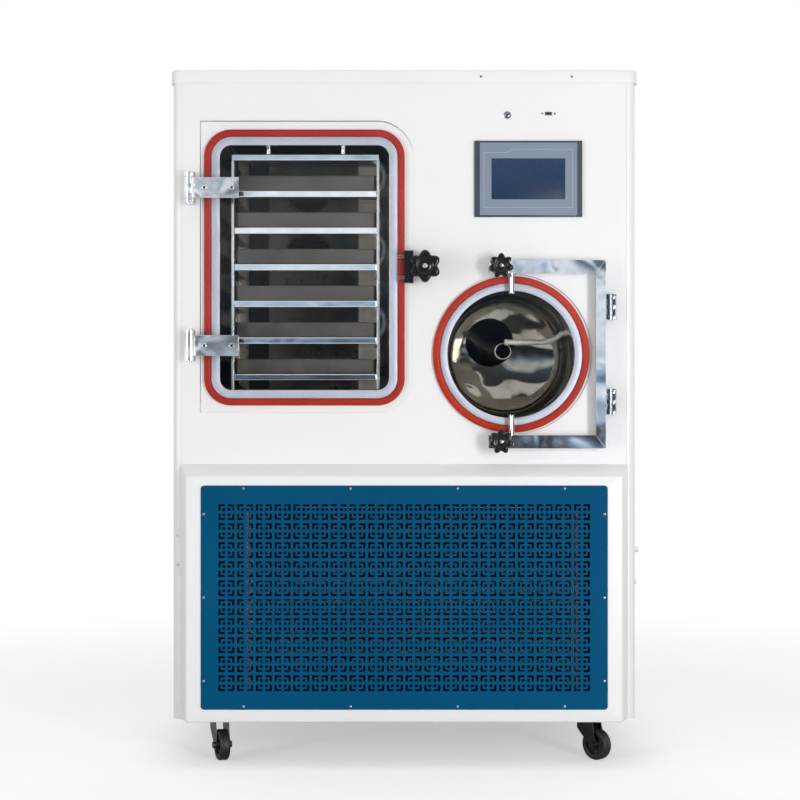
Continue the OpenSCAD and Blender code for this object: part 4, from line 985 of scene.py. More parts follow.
@dataclass
class Cabinet:
    """White folded panels, the lid, the base surround and what is fixed to them."""

    layout: Layout
    sheet: float = 2 * MM
    lid_corners: tuple[float, float, float, float] = (22 * MM, 22 * MM, 4 * MM, 4 * MM)
    lid_fold: float = 3.5 * MM
    soft: float = 0.4 * MM
    surround_fold: float = 4 * MM
    surround_drop: float = 22 * MM
    surround_side: float = 15 * MM
    surround_proud: float = 40 * MM
    surround_corners: tuple[float, float, float, float] = (6 * MM, 6 * MM, 3 * MM, 3 * MM)
    opening: Span = (800 * MM, 430 * MM)

    def build(self) -> None:
        """Makes and dresses every outer panel."""
        panels = ("side_panel_left", "side_panel_right", "back_panel", "front_panel")
        for node in panels:
            recast(node, Stock.WHITE, bevel=0.8 * MM)
        self.build_lid()
        self.build_surround()
        recast("panel_screws", Stock.SCREW, bevel=0.5 * MM)
        keep("frame", Stock.GREY)
        recast("power_inlet", Stock.BLACK, bevel=0.8 * MM)
        recast("side_fittings", Stock.PIPE, bevel=0.6 * MM)
        log.info("cabinet: %d panels, lid, surround", len(panels))

    def build_lid(self) -> None:
        """Makes the lid with its turned-down skirt and folded edges."""
        low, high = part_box("top_cover")
        plan = Outline(low.x, high.x, low.y, high.y, self.lid_corners, 10)
        rings = [plan.level(low.z, self.soft), plan.level(low.z + self.soft)]
        rings += [plan.level(high.z - drop, inset) for inset, drop in fold(self.lid_fold)]
        forge = Forge()
        forge.skin(rings, end_cap=True)
        stand_in(forge.piece("lid", "cabinet", Stock.WHITE, wall=self.sheet, bevel=self.soft), "top_cover")

    def build_surround(self) -> None:
        """Makes the folded surround that carries the grille."""
        low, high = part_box("front_surround")
        back = Outline(low.x, high.x, low.z, high.z, self.surround_corners, 5)
        front = Outline(low.x + self.surround_side, high.x - self.surround_side, low.z,
                        high.z - self.surround_drop, self.surround_corners, 5)
        mouth = Outline.centred(self.layout.centre_x, middle("grille_panel").z, *self.opening, 1 * MM, 5)
        share = self.surround_fold / self.surround_proud
        far, near = back.upright(high.y), front.upright(low.y)
        rings = [far, [b.lerp(a, share) for a, b in zip(far, near)]]
        rings += [front.upright(low.y + drop, inset) for inset, drop in fold(self.surround_fold)[1:]]
        rings.append(mouth.upright(low.y))
        forge = Forge()
        forge.skin(rings)
        stand_in(forge.piece("base_surround", "cabinet", Stock.WHITE, wall=self.sheet, sharp=40, bevel=self.soft),
                 "front_surround")


@dataclass
class Grille:
    """Blue sheet punched with rows of square key patterns, and its screws."""

    layout: Layout
    columns: int = 20
    rows: int = 10
    margin_x: float = 34 * MM
    margin_z: float = 35.5 * MM
    half_cell: float = 16.5 * MM
    arm_start: float = 3.1 * MM
    slot: float = 4.4 * MM
    dot: Span = (2.6 * MM, 8.3 * MM)
    corner: float = 7 * MM
    thick: float = 2 * MM
    shank: float = 1.45 * MM
    shank_end: float = 8 * MM
    painted_shade_cross: Span = (0.35 * MM, 1.5 * MM)

    def is_hole(self, across: float, up: float) -> bool:
        """Tells whether a place in a cell is punched out.

        Args:
            across: Its distance from the cell's middle, sideways.
            up: The same, upward.

        Returns:
            Whether it is a hole.
        """
        u, v = abs(across), abs(up)
        in_arm = all(self.arm_start < w < self.half_cell for w in (u, v))
        in_dot = all(self.dot[0] < w < self.dot[1] for w in (u, v))
        return (in_arm and max(u, v) > self.half_cell - self.slot) or in_dot

    def lines(self, low: float, high: float, count: int) -> tuple[list[float], list[float]]:
        """Gives the pattern's grid lines along one side and the middles of its cells.

        Args:
            low: Where the pattern starts.
            high: Where the pattern ends.
            count: Number of cells.

        Returns:
            The lines in order and the middles of the cells.
        """
        pitch = (high - low) / count
        middles = [low + pitch * (i + 0.5) for i in range(count)]
        steps = (self.dot[0], self.arm_start, self.dot[1], self.half_cell - self.slot, self.half_cell)
        found = {round(low, 7), round(high, 7)}
        for centre in middles:
            found.update(round(centre + sign * step, 7) for sign in (-1, 1) for step in steps)
        return sorted(found), middles

    def build(self) -> None:
        """Makes the punched sheet and its pan-head screws."""
        low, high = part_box("grille_panel")
        xs, cell_x = self.lines(low.x + self.margin_x, high.x - self.margin_x, self.columns)
        zs, cell_z = self.lines(low.z + self.margin_z, high.z - self.margin_z, self.rows)
        forge = Forge()
        grid = [[forge.mesh.verts.new((x, low.y, z)) for z in zs] for x in xs]
        for i in range(len(xs) - 1):
            x = (xs[i] + xs[i + 1]) / 2
            across = min((x - c for c in cell_x), key=abs)
            for j in range(len(zs) - 1):
                z = (zs[j] + zs[j + 1]) / 2
                if not self.is_hole(across, min((z - c for c in cell_z), key=abs)):
                    forge.face((grid[i][j], grid[i + 1][j], grid[i + 1][j + 1], grid[i][j + 1]))
        rim = Outline(low.x, high.x, low.z, high.z, (self.corner,) * 4, 8)
        border = forge.ring(rim.upright(low.y))
        edges = [forge.mesh.edges.new((a, b)) for a, b in zip(border, border[1:] + border[:1])]
        sides = [grid[0], [column[-1] for column in grid], grid[-1][::-1], [column[0] for column in grid][::-1]]
        for side in sides:
            edges += [forge.mesh.edges.get((a, b)) for a, b in zip(side, side[1:])]
        bmesh.ops.triangle_fill(forge.mesh, edges=edges, use_beauty=True, normal=(0, -1, 0))
        loose = [v for v in forge.mesh.verts if not v.link_faces]
        bmesh.ops.delete(forge.mesh, geom=loose, context="VERTS")
        sheet = forge.piece("punched_grille", "cabinet", Stock.BLUE, wall=self.thick, flat=True)
        stand_in(sheet, "grille_panel")
        self.build_screws()
        log.info("grille: %d cells", self.columns * self.rows)

    def build_screws(self) -> None:
        """Makes domed screw heads, with a black cross of painted shade where the cross recess is."""
        forge = Forge()
        for low, high in islands("grille_screws"):
            head = (high.x - low.x) / 2
            at = front_of(low, high)
            forge.tag = 0
            forge.lathe([(0.0, 0.0), (head * 0.45, 0.1 * MM), (head * 0.75, 0.5 * MM), (head * 0.95, 1.2 * MM),
                         (head, 1.9 * MM), (head, 2.0 * MM), (self.shank, 2.0 * MM), (self.shank, self.shank_end),
                         (0.0, self.shank_end)], at, segments=24)
            # The black cross blocks stand in for the recess: painted shade.
            forge.tag = 1
            for wide, tall in (self.painted_shade_cross, self.painted_shade_cross[::-1]):
                forge.block(at + Vector((-wide, -0.12 * MM, -tall)), at + Vector((wide, 0.3 * MM, tall)))
        stand_in(forge.piece("grille_pan_screws", "cabinet", Stock.SCREW, Stock.MACHINE), "grille_screws")


# ---------------------------------------------------------------- drying chamber


def sweep(forge: Forge, loop: Outline, profile: Profile, y: float) -> None:
    """Sweeps a closed profile round an upright outline.

    Args:
        forge: Where the faces go.
        loop: The outline.
        profile: Offsets outward and distances in front of the start depth.
        y: Start depth.
    """
    forge.skin([loop.upright(y - depth, -out) for out, depth in profile], looped=True)


def seal_profile(width: float, depth: float) -> Profile:
    """Gives the section of a flat seal with rounded shoulders.

    Args:
        width: Its width.
        depth: How far it stands proud.

    Returns:
        Pairs of offset and height.
    """
    half = width / 2
    side = [(half, 0.0), (half, depth * 0.62), (half - 0.5 * MM, depth * 0.8), (half - 1.4 * MM, depth * 0.92),
            (half - 3 * MM, depth * 0.985)]
    return [(-out, up) for out, up in side] + [(0, depth)] + side[::-1]


def flange_profile(inner: float, outer: float, proud: float, soft: float = 1.2 * MM) -> Profile:
    """Gives the section of a flange with softened edges.

    Args:
        inner: Where its inner side is.
        outer: Where its outer side is.
        proud: How far it stands proud of the panel.
        soft: How wide its edges are softened.

    Returns:
        Pairs of place across and height.
    """
    near, root = 0.35 * soft, -0.5 * MM
    return [(inner, root), (inner, proud - soft), (inner + near, proud - near), (inner + soft, proud),
            (outer - soft, proud), (outer - near, proud - near), (outer, proud - soft), (outer, root)]


@dataclass
class DryingChamber:
    """Rectangular vessel with its flange and seal, and the shelf rack inside."""

    layout: Layout
    inner: Span = (354 * MM, 512 * MM)
    corner: float = 24 * MM
    deep: float = 447 * MM
    wall: float = 3 * MM
    band: float = 18.5 * MM
    proud: float = 6 * MM
    seal_band: float = 14.5 * MM
    seal_proud: float = 10 * MM
    port: float = 54 * MM
    port_from: Span = (-12 * MM, 94 * MM)
    port_start: float = 202.5
    weld_beads: int = 96
    weld: float = 2.0 * MM
    weld_ripple: float = 0.35 * MM
    plate_deep: float = 7 * MM
    tray_wall: float = 1.5 * MM
    tray_rim: float = 1.6 * MM
    tray_corner: float = 8 * MM
    hose: float = 5 * MM

    def build(self) -> None:
        """Makes the vessel and everything in it."""
        self.build_vessel()
        self.build_flange()
        self.build_rack()
        self.build_trays()
        self.build_hoses()
        log.info("drying chamber: vessel, flange, seal, rack, shelves, trays, hoses")

    def build_vessel(self) -> None:
        """Makes the liner with its back wall and port."""
        centre, face = self.layout.chamber, self.layout.face_y
        mouth = Outline.centred(centre.x, centre.z, *self.inner, self.corner, 12)
        back = face + self.deep
        port = Vector((centre.x + self.port_from[0], back, centre.z + self.port_from[1]))
        start = math.radians(self.port_start)
        hole = [port + Vector((math.cos(start + a), 0, math.sin(start + a))) * self.port
                for a in angles(4 * (mouth.steps + 1))]
        rings = [mouth.upright(face + 0.5 * MM), mouth.upright(back - self.wall)]
        rings += [mouth.upright(back - drop, inset) for inset, drop in fold(self.wall, 3)[1:]]
        rings += [[p.lerp(q, 0.5) for p, q in zip(rings[-1], hole)], hole, [p + INWARD * 6 * MM for p in hole]]
        forge = Forge()
        forge.skin(rings)
        # Faces behind the back wall, the port's tube, take the black bore finish: painted shade.
        for part in forge.mesh.faces:
            deep = part.calc_center_median().y - back
            part.material_index = 2 if deep > 1 * MM else 1 if deep > -self.wall else 0
        stand_in(forge.piece("chamber_liner", "cabinet", Stock.LINER, Stock.REAR, Stock.BORE_SHADE, wall=self.wall,
                             wall_side=1.0, bevel=0.5 * MM), "drying_chamber")
        forge = Forge()
        ring = [port + Vector((math.cos(a), -4 * MM, math.sin(a))) * (self.port + 0.6 * MM)
                for a in angles(self.weld_beads) + [TAU]]
        forge.tube(ring, bead(self.weld_beads, self.weld, self.weld_ripple), 10, caps=False)
        forge.piece("port_weld", "cabinet", Stock.TINT)

    def build_flange(self) -> None:
        """Makes the satin flange and the silicone seal round it."""
        centre, face = self.layout.chamber, self.layout.face_y
        half = self.band / 2
        sides = (side + self.band for side in self.inner)
        loop = Outline.centred(centre.x, centre.z, *sides, self.corner + half, 12)
        forge = Forge()
        sweep(forge, loop, flange_profile(-half, half, self.proud), face)
        forge.front_tag(face - self.proud)
        forge.piece("chamber_flange", "cabinet", Stock.FLANGE, Stock.LINER, sharp=50)
        reach = self.band + self.seal_band / 2
        sides = (side + 2 * reach for side in self.inner)
        loop = Outline.centred(centre.x, centre.z, *sides, self.corner + reach, 16)
        forge = Forge()
        sweep(forge, loop, seal_profile(self.seal_band, self.seal_proud), face)
        stand_in(forge.piece("chamber_gasket", "cabinet", Stock.RED, sharp=60), "chamber_seal")

    def build_rack(self) -> None:
        """Dresses the rack bars, the rear plates and the shelves."""
        low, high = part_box("shelf_rack")
        half_way = (low.x + high.x) / 2

        def slot_at(place: Vector, normal: Vector) -> int:
            """Picks the plate finish for faces at the back of the rack: the right plate gets painted light, the left
            plate painted shade.

            Args:
                place: Middle of the face.
                normal: Its normal, which doesn't matter here.

            Returns:
                The slot.
            """
            if place.y < high.y - self.plate_deep:
                return 0
            return 1 if place.x > half_way else 2

        recast("shelf_rack", Stock.UPRIGHT, Stock.PAINTED_LIGHT_PLATE, Stock.SHADED, bevel=0.8 * MM, pick=slot_at)
        recast("shelves", Stock.SHELF, bevel=2.2 * MM, steps=3)

    def build_trays(self) -> None:
        """Makes the six pressed trays with rolled rims."""
        forge = Forge()
        for low, high in islands("trays"):
            wall, rim = self.tray_wall, self.tray_rim
            plan = Outline(low.x + 1 * MM, high.x - 1 * MM, low.y + 1 * MM, high.y - 1 * MM,
                           (self.tray_corner,) * 4, 6)
            outside = [(0.0, 4 * MM), (0.6 * MM, 1.6 * MM), (2 * MM, 0.5 * MM)]
            inside = [(4 * MM, wall + 0.9 * MM), (2 * MM, wall + 2 * MM), (1.5 * MM, wall + 5 * MM)]
            rings = [plan.level(low.z + up, inset) for up, inset in outside]
            rings.append(plan.level(high.z - 3.4 * MM))
            rings += [plan.level(high.z - rim + rim * math.sin(a), 0.6 * MM - rim * math.cos(a))
                      for a in arc(6, -60, 150)]
            rings.append(plan.level(high.z - 3 * MM, wall + 0.5 * MM))
            rings += [plan.level(low.z + up, inset) for up, inset in inside]
            forge.skin(rings, start_cap=True, end_cap=True)
        stand_in(forge.piece("product_trays", "cabinet", Stock.TRAY, sharp=50), "trays")

    def build_hoses(self) -> None:
        """Makes the bowed hoses between the shelves, with their ferrules."""
        forge = Forge()
        for low, high in islands("shelf_hoses"):
            radius = (high.z - low.z) / 2 - self.hose
            centre = (low + high) / 2
            bend_x = high.x - radius - self.hose
            straight = bend_x - low.x
            path = [Vector((low.x + straight * k / 3, centre.y, centre.z + radius)) for k in range(3)]
            path += [Vector((bend_x + radius * math.sin(a), centre.y, centre.z + radius * math.cos(a)))
                     for a in arc(20, 0, 180)]
            path += [Vector((bend_x - straight * k / 3, centre.y, centre.z - radius)) for k in range(1, 4)]
            forge.tag = 0
            forge.tube(path, self.hose, 20)
            forge.tag = 1
            for side in (-1, 1):
                forge.lathe([(0.0, 0.0), (5.6 * MM, 0.0), (5.9 * MM, 0.4 * MM), (5.9 * MM, 4 * MM),
                             (5.4 * MM, 4.4 * MM), (0.0, 4.4 * MM)],
                            Vector((low.x, centre.y, centre.z + side * radius)), RIGHT, 24)
        stand_in(forge.piece("shelf_link_hoses", "cabinet", Stock.MILK, Stock.SCREW), "shelf_hoses")


# ---------------------------------------------------------------- doors


def sawn_side(place: Vector, normal: Vector) -> int:
    """Picks the sawn finish for the faces round a clear sheet."""
    return 1 if abs(normal.y) < 0.5 else 0


@dataclass(frozen=True)
class LobedKnob:
    """Moulded knob with round lobes, a crowned front and its stud's end showing."""

    name: str
    body: str
    node: str
    lobes: int
    tip: float
    waist: float
    power: float
    start: float
    stud: float
    length: float
    turns: int = 168

    def outline(self, angle: float) -> float:
        """Gives the radius of the lobed outline at an angle."""
        share = (1 + math.cos(self.lobes * (angle - self.start))) / 2
        return self.waist + (self.tip - self.waist) * share ** self.power

    def build(self, front: Vector) -> None:
        """Makes the knob.

        Args:
            front: Middle of the knob's front, where its stud ends.
        """
        depth, hub, bore = self.length, self.waist * 0.72, self.stud + 0.3 * MM
        turns = angles(self.turns)

        def ring(y: float, radii: Sequence[float]) -> Ring:
            """Gives the ring at a depth behind the front, with a radius for each angle."""
            return [front + Vector((r * math.cos(a), y, r * math.sin(a))) for a, r in zip(turns, radii)]

        edge = [self.outline(a) for a in turns]
        side = [(depth, 0.93), (depth - 1.2 * MM, 0.98), (depth - 3 * MM, 1.0), (6.5 * MM, 1.0), (3.6 * MM, 0.985),
                (1.8 * MM, 0.95), (0.7 * MM, 0.89), (0.1 * MM, 0.8)]
        crown = [(0.0, hub), (0.5 * MM, hub * 0.94), (1.6 * MM, hub * 0.86), (2.0 * MM, hub * 0.7),
                 (1.2 * MM, hub * 0.6), (0.9 * MM, hub * 0.5), (0.9 * MM, bore + 0.4 * MM), (1.4 * MM, bore),
                 (4 * MM, bore)]
        rings = [ring(y, [r * share for r in edge]) for y, share in side]
        rings += [ring(y, [r] * self.turns) for y, r in crown]
        forge = Forge()
        forge.skin(rings, start_cap=True)
        stand_in(forge.piece(self.name, self.body, Stock.BLACK, sharp=38), self.node)


@dataclass
class ChamberDoor:
    """Clear door with its polished hinges, let-in latch block and knob."""

    layout: Layout
    knob_tip: float = 33.6 * MM
    knob_notch: float = 8.2 * MM
    stud: float = 5 * MM

    def build(self) -> None:
        """Makes and dresses the door, its hinges and its latch."""
        recast("chamber_door", Stock.CLEAR, Stock.SAWN, bevel=1.4 * MM, pick=sawn_side)
        recast("hinge_straps", Stock.STRAP, bevel=0.9 * MM, steps=3)
        recast("hinge_seats", Stock.STRAP, bevel=0.9 * MM)
        recast("hinge_pins", Stock.SCREW, bevel=0.6 * MM)
        self.build_screws()
        recast("latch_block", Stock.BLACK, bevel=1.4 * MM, steps=3)
        recast("latch_stud", Stock.SCREW, bevel=1.6 * MM, steps=3)
        recast("stud_bosses", Stock.STRAP, bevel=0.8 * MM)
        low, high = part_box("latch_knob")
        at = middle("latch_stud")
        knob = LobedKnob("latch_star_knob", "latch", "latch_knob", 6, self.knob_tip, self.knob_tip - self.knob_notch,
                         0.72, math.radians(30), self.stud, high.y - low.y)
        knob.build(Vector((at.x, low.y, at.z)))
        log.info("chamber door: pane, hinges, latch")

    def build_screws(self) -> None:
        """Makes the button-head screws with their hexagon sockets, whose floors are black: painted shade."""
        forge = Forge()
        for low, high in islands("door_screws"):
            head = min(high.x - low.x, high.z - low.z) / 2
            at = front_of(low, high)
            socket, shank, end = head * 0.46, head * 0.6, high.y - low.y
            forge.tag = 0
            forge.lathe([(0.0, 3.0 * MM), (socket, 3.0 * MM), (socket, 0.1 * MM), (shank, 0.0),
                         (head * 0.85, 0.5 * MM), (head, 1.5 * MM), (head, 2.5 * MM), (shank, 2.5 * MM),
                         (shank, end), (0.0, end)], at, segments=36)
            # The black hexagon at the socket's floor is painted shade.
            forge.tag = 1
            well = socket * 1.02
            forge.lathe([(0.0, 0.9 * MM), (well, 0.9 * MM), (well, 2.9 * MM), (0.0, 2.9 * MM)], at, segments=6)
        stand_in(forge.piece("strap_screws", "door", Stock.SCREW, Stock.MACHINE), "door_screws")


@dataclass
class TrapDoor:
    """Clear disc on two pins in a polished tube frame with two clamp knobs."""

    layout: Layout
    knob_tip: float = 26 * MM
    knob_notch: float = 6.8 * MM
    knob_deep: float = 28 * MM
    knob_back: float = 2 * MM
    stud: float = 4 * MM
    weld_beads: int = 26
    weld: float = 0.55 * MM
    weld_ripple: float = 0.12 * MM

    def build(self) -> None:
        """Makes and dresses the disc, the frame, its hinges and knobs."""
        recast("trap_disc", Stock.CLEAR, Stock.SAWN, bevel=1.4 * MM, pick=sawn_side)
        recast("disc_pins", Stock.SCREW, bevel=1.0 * MM)
        recast("trap_door_frame", Stock.POLISHED, bevel=2.0 * MM, steps=3)
        recast("fixed_leaves", Stock.LEAF, bevel=0.5 * MM)
        recast("moving_leaves", Stock.LEAF, bevel=0.5 * MM)
        for which in ("upper", "lower"):
            node = f"clamp_knob_{which}"
            low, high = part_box(node)
            front = front_of(low, high)
            self.build_stud(which, front, high.y - low.y)
            knob = LobedKnob(f"clamp_star_knob_{which}", f"clamp_{which}", node, 7, self.knob_tip,
                             self.knob_tip - self.knob_notch, 0.8, math.radians(90), self.stud, self.knob_deep)
            knob.build(front + INWARD * self.knob_back)
        self.build_welds()
        log.info("trap door: disc, frame, hinges, clamps")

    def build_stud(self, which: str, front: Vector, length: float) -> None:
        """Makes a clamp stud with a rounded end.

        Args:
            which: Upper or lower.
            front: Its front end.
            length: Its length.
        """
        profile = [(0.0, 0.0), (self.stud * 0.5, 0.1 * MM), (self.stud * 0.85, 0.5 * MM), (self.stud, 1.2 * MM),
                   (self.stud, length - 1 * MM), (self.stud - 0.8 * MM, length), (0.0, length)]
        forge = Forge()
        forge.lathe(profile, front, segments=32)
        made = forge.piece(f"clamp_stud_{which}", f"clamp_{which}", Stock.SCREW)

    def build_welds(self) -> None:
        """Makes the dressed weld seams across the frame's two mitred corners."""
        low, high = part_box("trap_door_frame")
        forge = Forge()
        for z, arm in ((high.z, -1), (low.z, 1)):
            corner = Vector((high.x - 0.8 * MM, low.y + 0.35 * MM, z + arm * 0.8 * MM))
            inner = Vector((high.x - 20.3 * MM, corner.y, z + arm * 27 * MM))
            path = [corner.lerp(inner, k / self.weld_beads) for k in range(self.weld_beads + 1)]
            forge.tube(path, bead(self.weld_beads, self.weld, self.weld_ripple), 10)
        forge.piece("frame_mitre_welds", "trap_frame", Stock.POLISHED)


# ---------------------------------------------------------------- cold trap


@dataclass
class ColdTrap:
    """Round mirror-polished vessel with its flange, seal and inner pipes."""

    layout: Layout
    radius: float = 133 * MM
    wall: float = 3 * MM
    deep: float = 287 * MM
    knuckle: float = 30 * MM
    crown: float = 266 * MM
    flange: float = 149.3 * MM
    seal: float = 164 * MM
    port: float = 54 * MM
    port_from: Span = (-32 * MM, 31 * MM)
    turns: int = 144
    proud: float = 6 * MM
    seal_proud: float = 10 * MM
    tube: float = 6 * MM
    tube_deep: float = 200 * MM
    tube_x: Span = (-2 * MM, 104 * MM)
    tube_z: float = 30 * MM
    tube_cut: float = 28 * MM
    tube_end: float = 46 * MM
    # Radius of the black disc of painted shade inside the suction pipe, and its distance from the pipe's far end.
    blank: float = 14 * MM
    blank_from: float = 60 * MM
    slack: float = 0.01 * MM

    def build(self) -> None:
        """Makes the trap."""
        self.build_vessel()
        self.build_rims()
        self.build_pipes()
        log.info("cold trap: vessel, flange, seal, pipes")

    def build_vessel(self) -> None:
        """Makes the vessel with its dished end and port."""
        axis, face = self.layout.trap, self.layout.face_y
        reach = self.radius - self.knuckle
        rise = math.sqrt((self.crown - self.knuckle) ** 2 - reach ** 2)
        crown_y = self.deep - self.crown
        knuckle_y = crown_y + rise
        lean = math.degrees(math.atan2(reach, rise))
        profile = [(self.radius, -5.5 * MM), (self.radius, knuckle_y * 0.5), (self.radius, knuckle_y)]
        profile += [(reach + self.knuckle * math.cos(a), knuckle_y + self.knuckle * math.sin(a))
                    for a in arc(8, 0, 90 - lean)[1:]]

        def circle(radius: float, x: float = 0.0, z: float = 0.0) -> Profile:
            """Gives the points of a circle beside the trap's axis."""
            return [(x + radius * math.cos(a), z + radius * math.sin(a)) for a in angles(self.turns)]

        rings = [[Vector((axis.x + x, face + y, axis.z + z)) for x, z in circle(r)] for r, y in profile]
        outer, hole = circle(profile[-1][0]), circle(self.port, *self.port_from)
        for share in (step / 10 for step in range(1, 11)):
            ring = []
            for (x0, z0), (x1, z1) in zip(outer, hole):
                x, z = x0 + (x1 - x0) * share, z0 + (z1 - z0) * share
                y = crown_y + math.sqrt(self.crown ** 2 - x * x - z * z)
                ring.append(Vector((axis.x + x, face + y, axis.z + z)))
            rings.append(ring)
        rings.append([Vector((p.x, face + self.deep + self.wall, p.z)) for p in rings[-1]])
        forge = Forge()
        forge.skin(rings)
        stand_in(forge.piece("trap_pot", "cabinet", Stock.VESSEL, wall=self.wall, wall_side=1.0, bevel=0.5 * MM),
                 "trap_barrel")

    def build_rims(self) -> None:
        """Makes the satin flange and the orange-red seal."""
        axis = Vector((self.layout.trap.x, self.layout.face_y, self.layout.trap.z))
        forge = Forge()
        forge.lathe(flange_profile(self.radius, self.flange, self.proud), axis, OUTWARD, self.turns, looped=True)
        forge.front_tag(axis.y - self.proud)
        forge.piece("trap_flange", "cabinet", Stock.FLANGE, Stock.VESSEL, sharp=50)
        section = seal_profile(self.seal - self.flange, self.seal_proud)
        ring = (self.seal + self.flange) / 2
        forge = Forge()
        forge.lathe([(ring + out, up) for out, up in section], axis, OUTWARD, self.turns, looped=True)
        stand_in(forge.piece("trap_gasket", "cabinet", Stock.ORANGE, sharp=60), "trap_seal")

    def build_pipes(self) -> None:
        """Makes the bent defrost tube, the open suction pipe and the duct."""
        axis, cut = self.layout.trap, self.tube_cut
        y, z = self.layout.face_y + self.tube_deep, axis.z + self.tube_z
        start, corner = (Vector((axis.x + x, y, z)) for x in self.tube_x)
        slope = Vector((1, 0, 1)).normalized()
        bend = cut / math.tan(math.radians(22.5))
        centre = corner + Vector((-cut, 0, bend))
        path = [start.lerp(corner - RIGHT * cut, k / 6) for k in range(7)]
        path += [centre + Vector((math.sin(a), 0, -math.cos(a))) * bend for a in arc(12, 0, 45)[1:]]
        path += [corner + slope * (cut + (self.tube_end - cut) * k / 2) for k in range(1, 3)]
        forge = Forge()
        forge.tube(path, self.tube, 32)
        collar = [(2.6 * MM, -1.2 * MM), (4.6 * MM, -1.2 * MM), (5.6 * MM, -0.6 * MM),
                  (7.0 * MM, 0.6 * MM), (7.0 * MM, 5.4 * MM), (6.4 * MM, 6 * MM), (0.0, 6 * MM)]
        forge.lathe(collar, start - RIGHT * 0.5 * MM, RIGHT, 32)
        stand_in(forge.piece("bent_defrost_tube", "cabinet", Stock.PIPE), "defrost_tube")
        self.build_suction()
        # The duct takes the liner's dark finish, painted shade.
        keep("vapour_duct", Stock.LINER)

    def build_suction(self) -> None:
        """Dresses the open suction pipe with a black bore of painted shade and puts a black disc of painted shade
        across its far end.
        """
        low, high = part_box("suction_pipe")
        axis = (low + high) / 2

        def slot_at(place: Vector, normal: Vector) -> int:
            """Picks the black finish of painted shade for the faces of the bore, which face the axis."""
            return 1 if (place.x - axis.x) * normal.x + (place.z - axis.z) * normal.z < -self.slack else 0

        recast("suction_pipe", Stock.PIPE, Stock.BORE_SHADE, bevel=0.4 * MM, pick=slot_at)
        forge = Forge()
        radius = self.blank
        forge.lathe([(0.0, 0.0), (radius - 0.6 * MM, 0.0), (radius, 0.6 * MM), (radius, 3 * MM), (0.0, 3 * MM)],
                    Vector((axis.x, high.y - self.blank_from, axis.z)))
        forge.piece("suction_shade_disc", "cabinet", Stock.BORE_SHADE)


# ---------------------------------------------------------------- controls


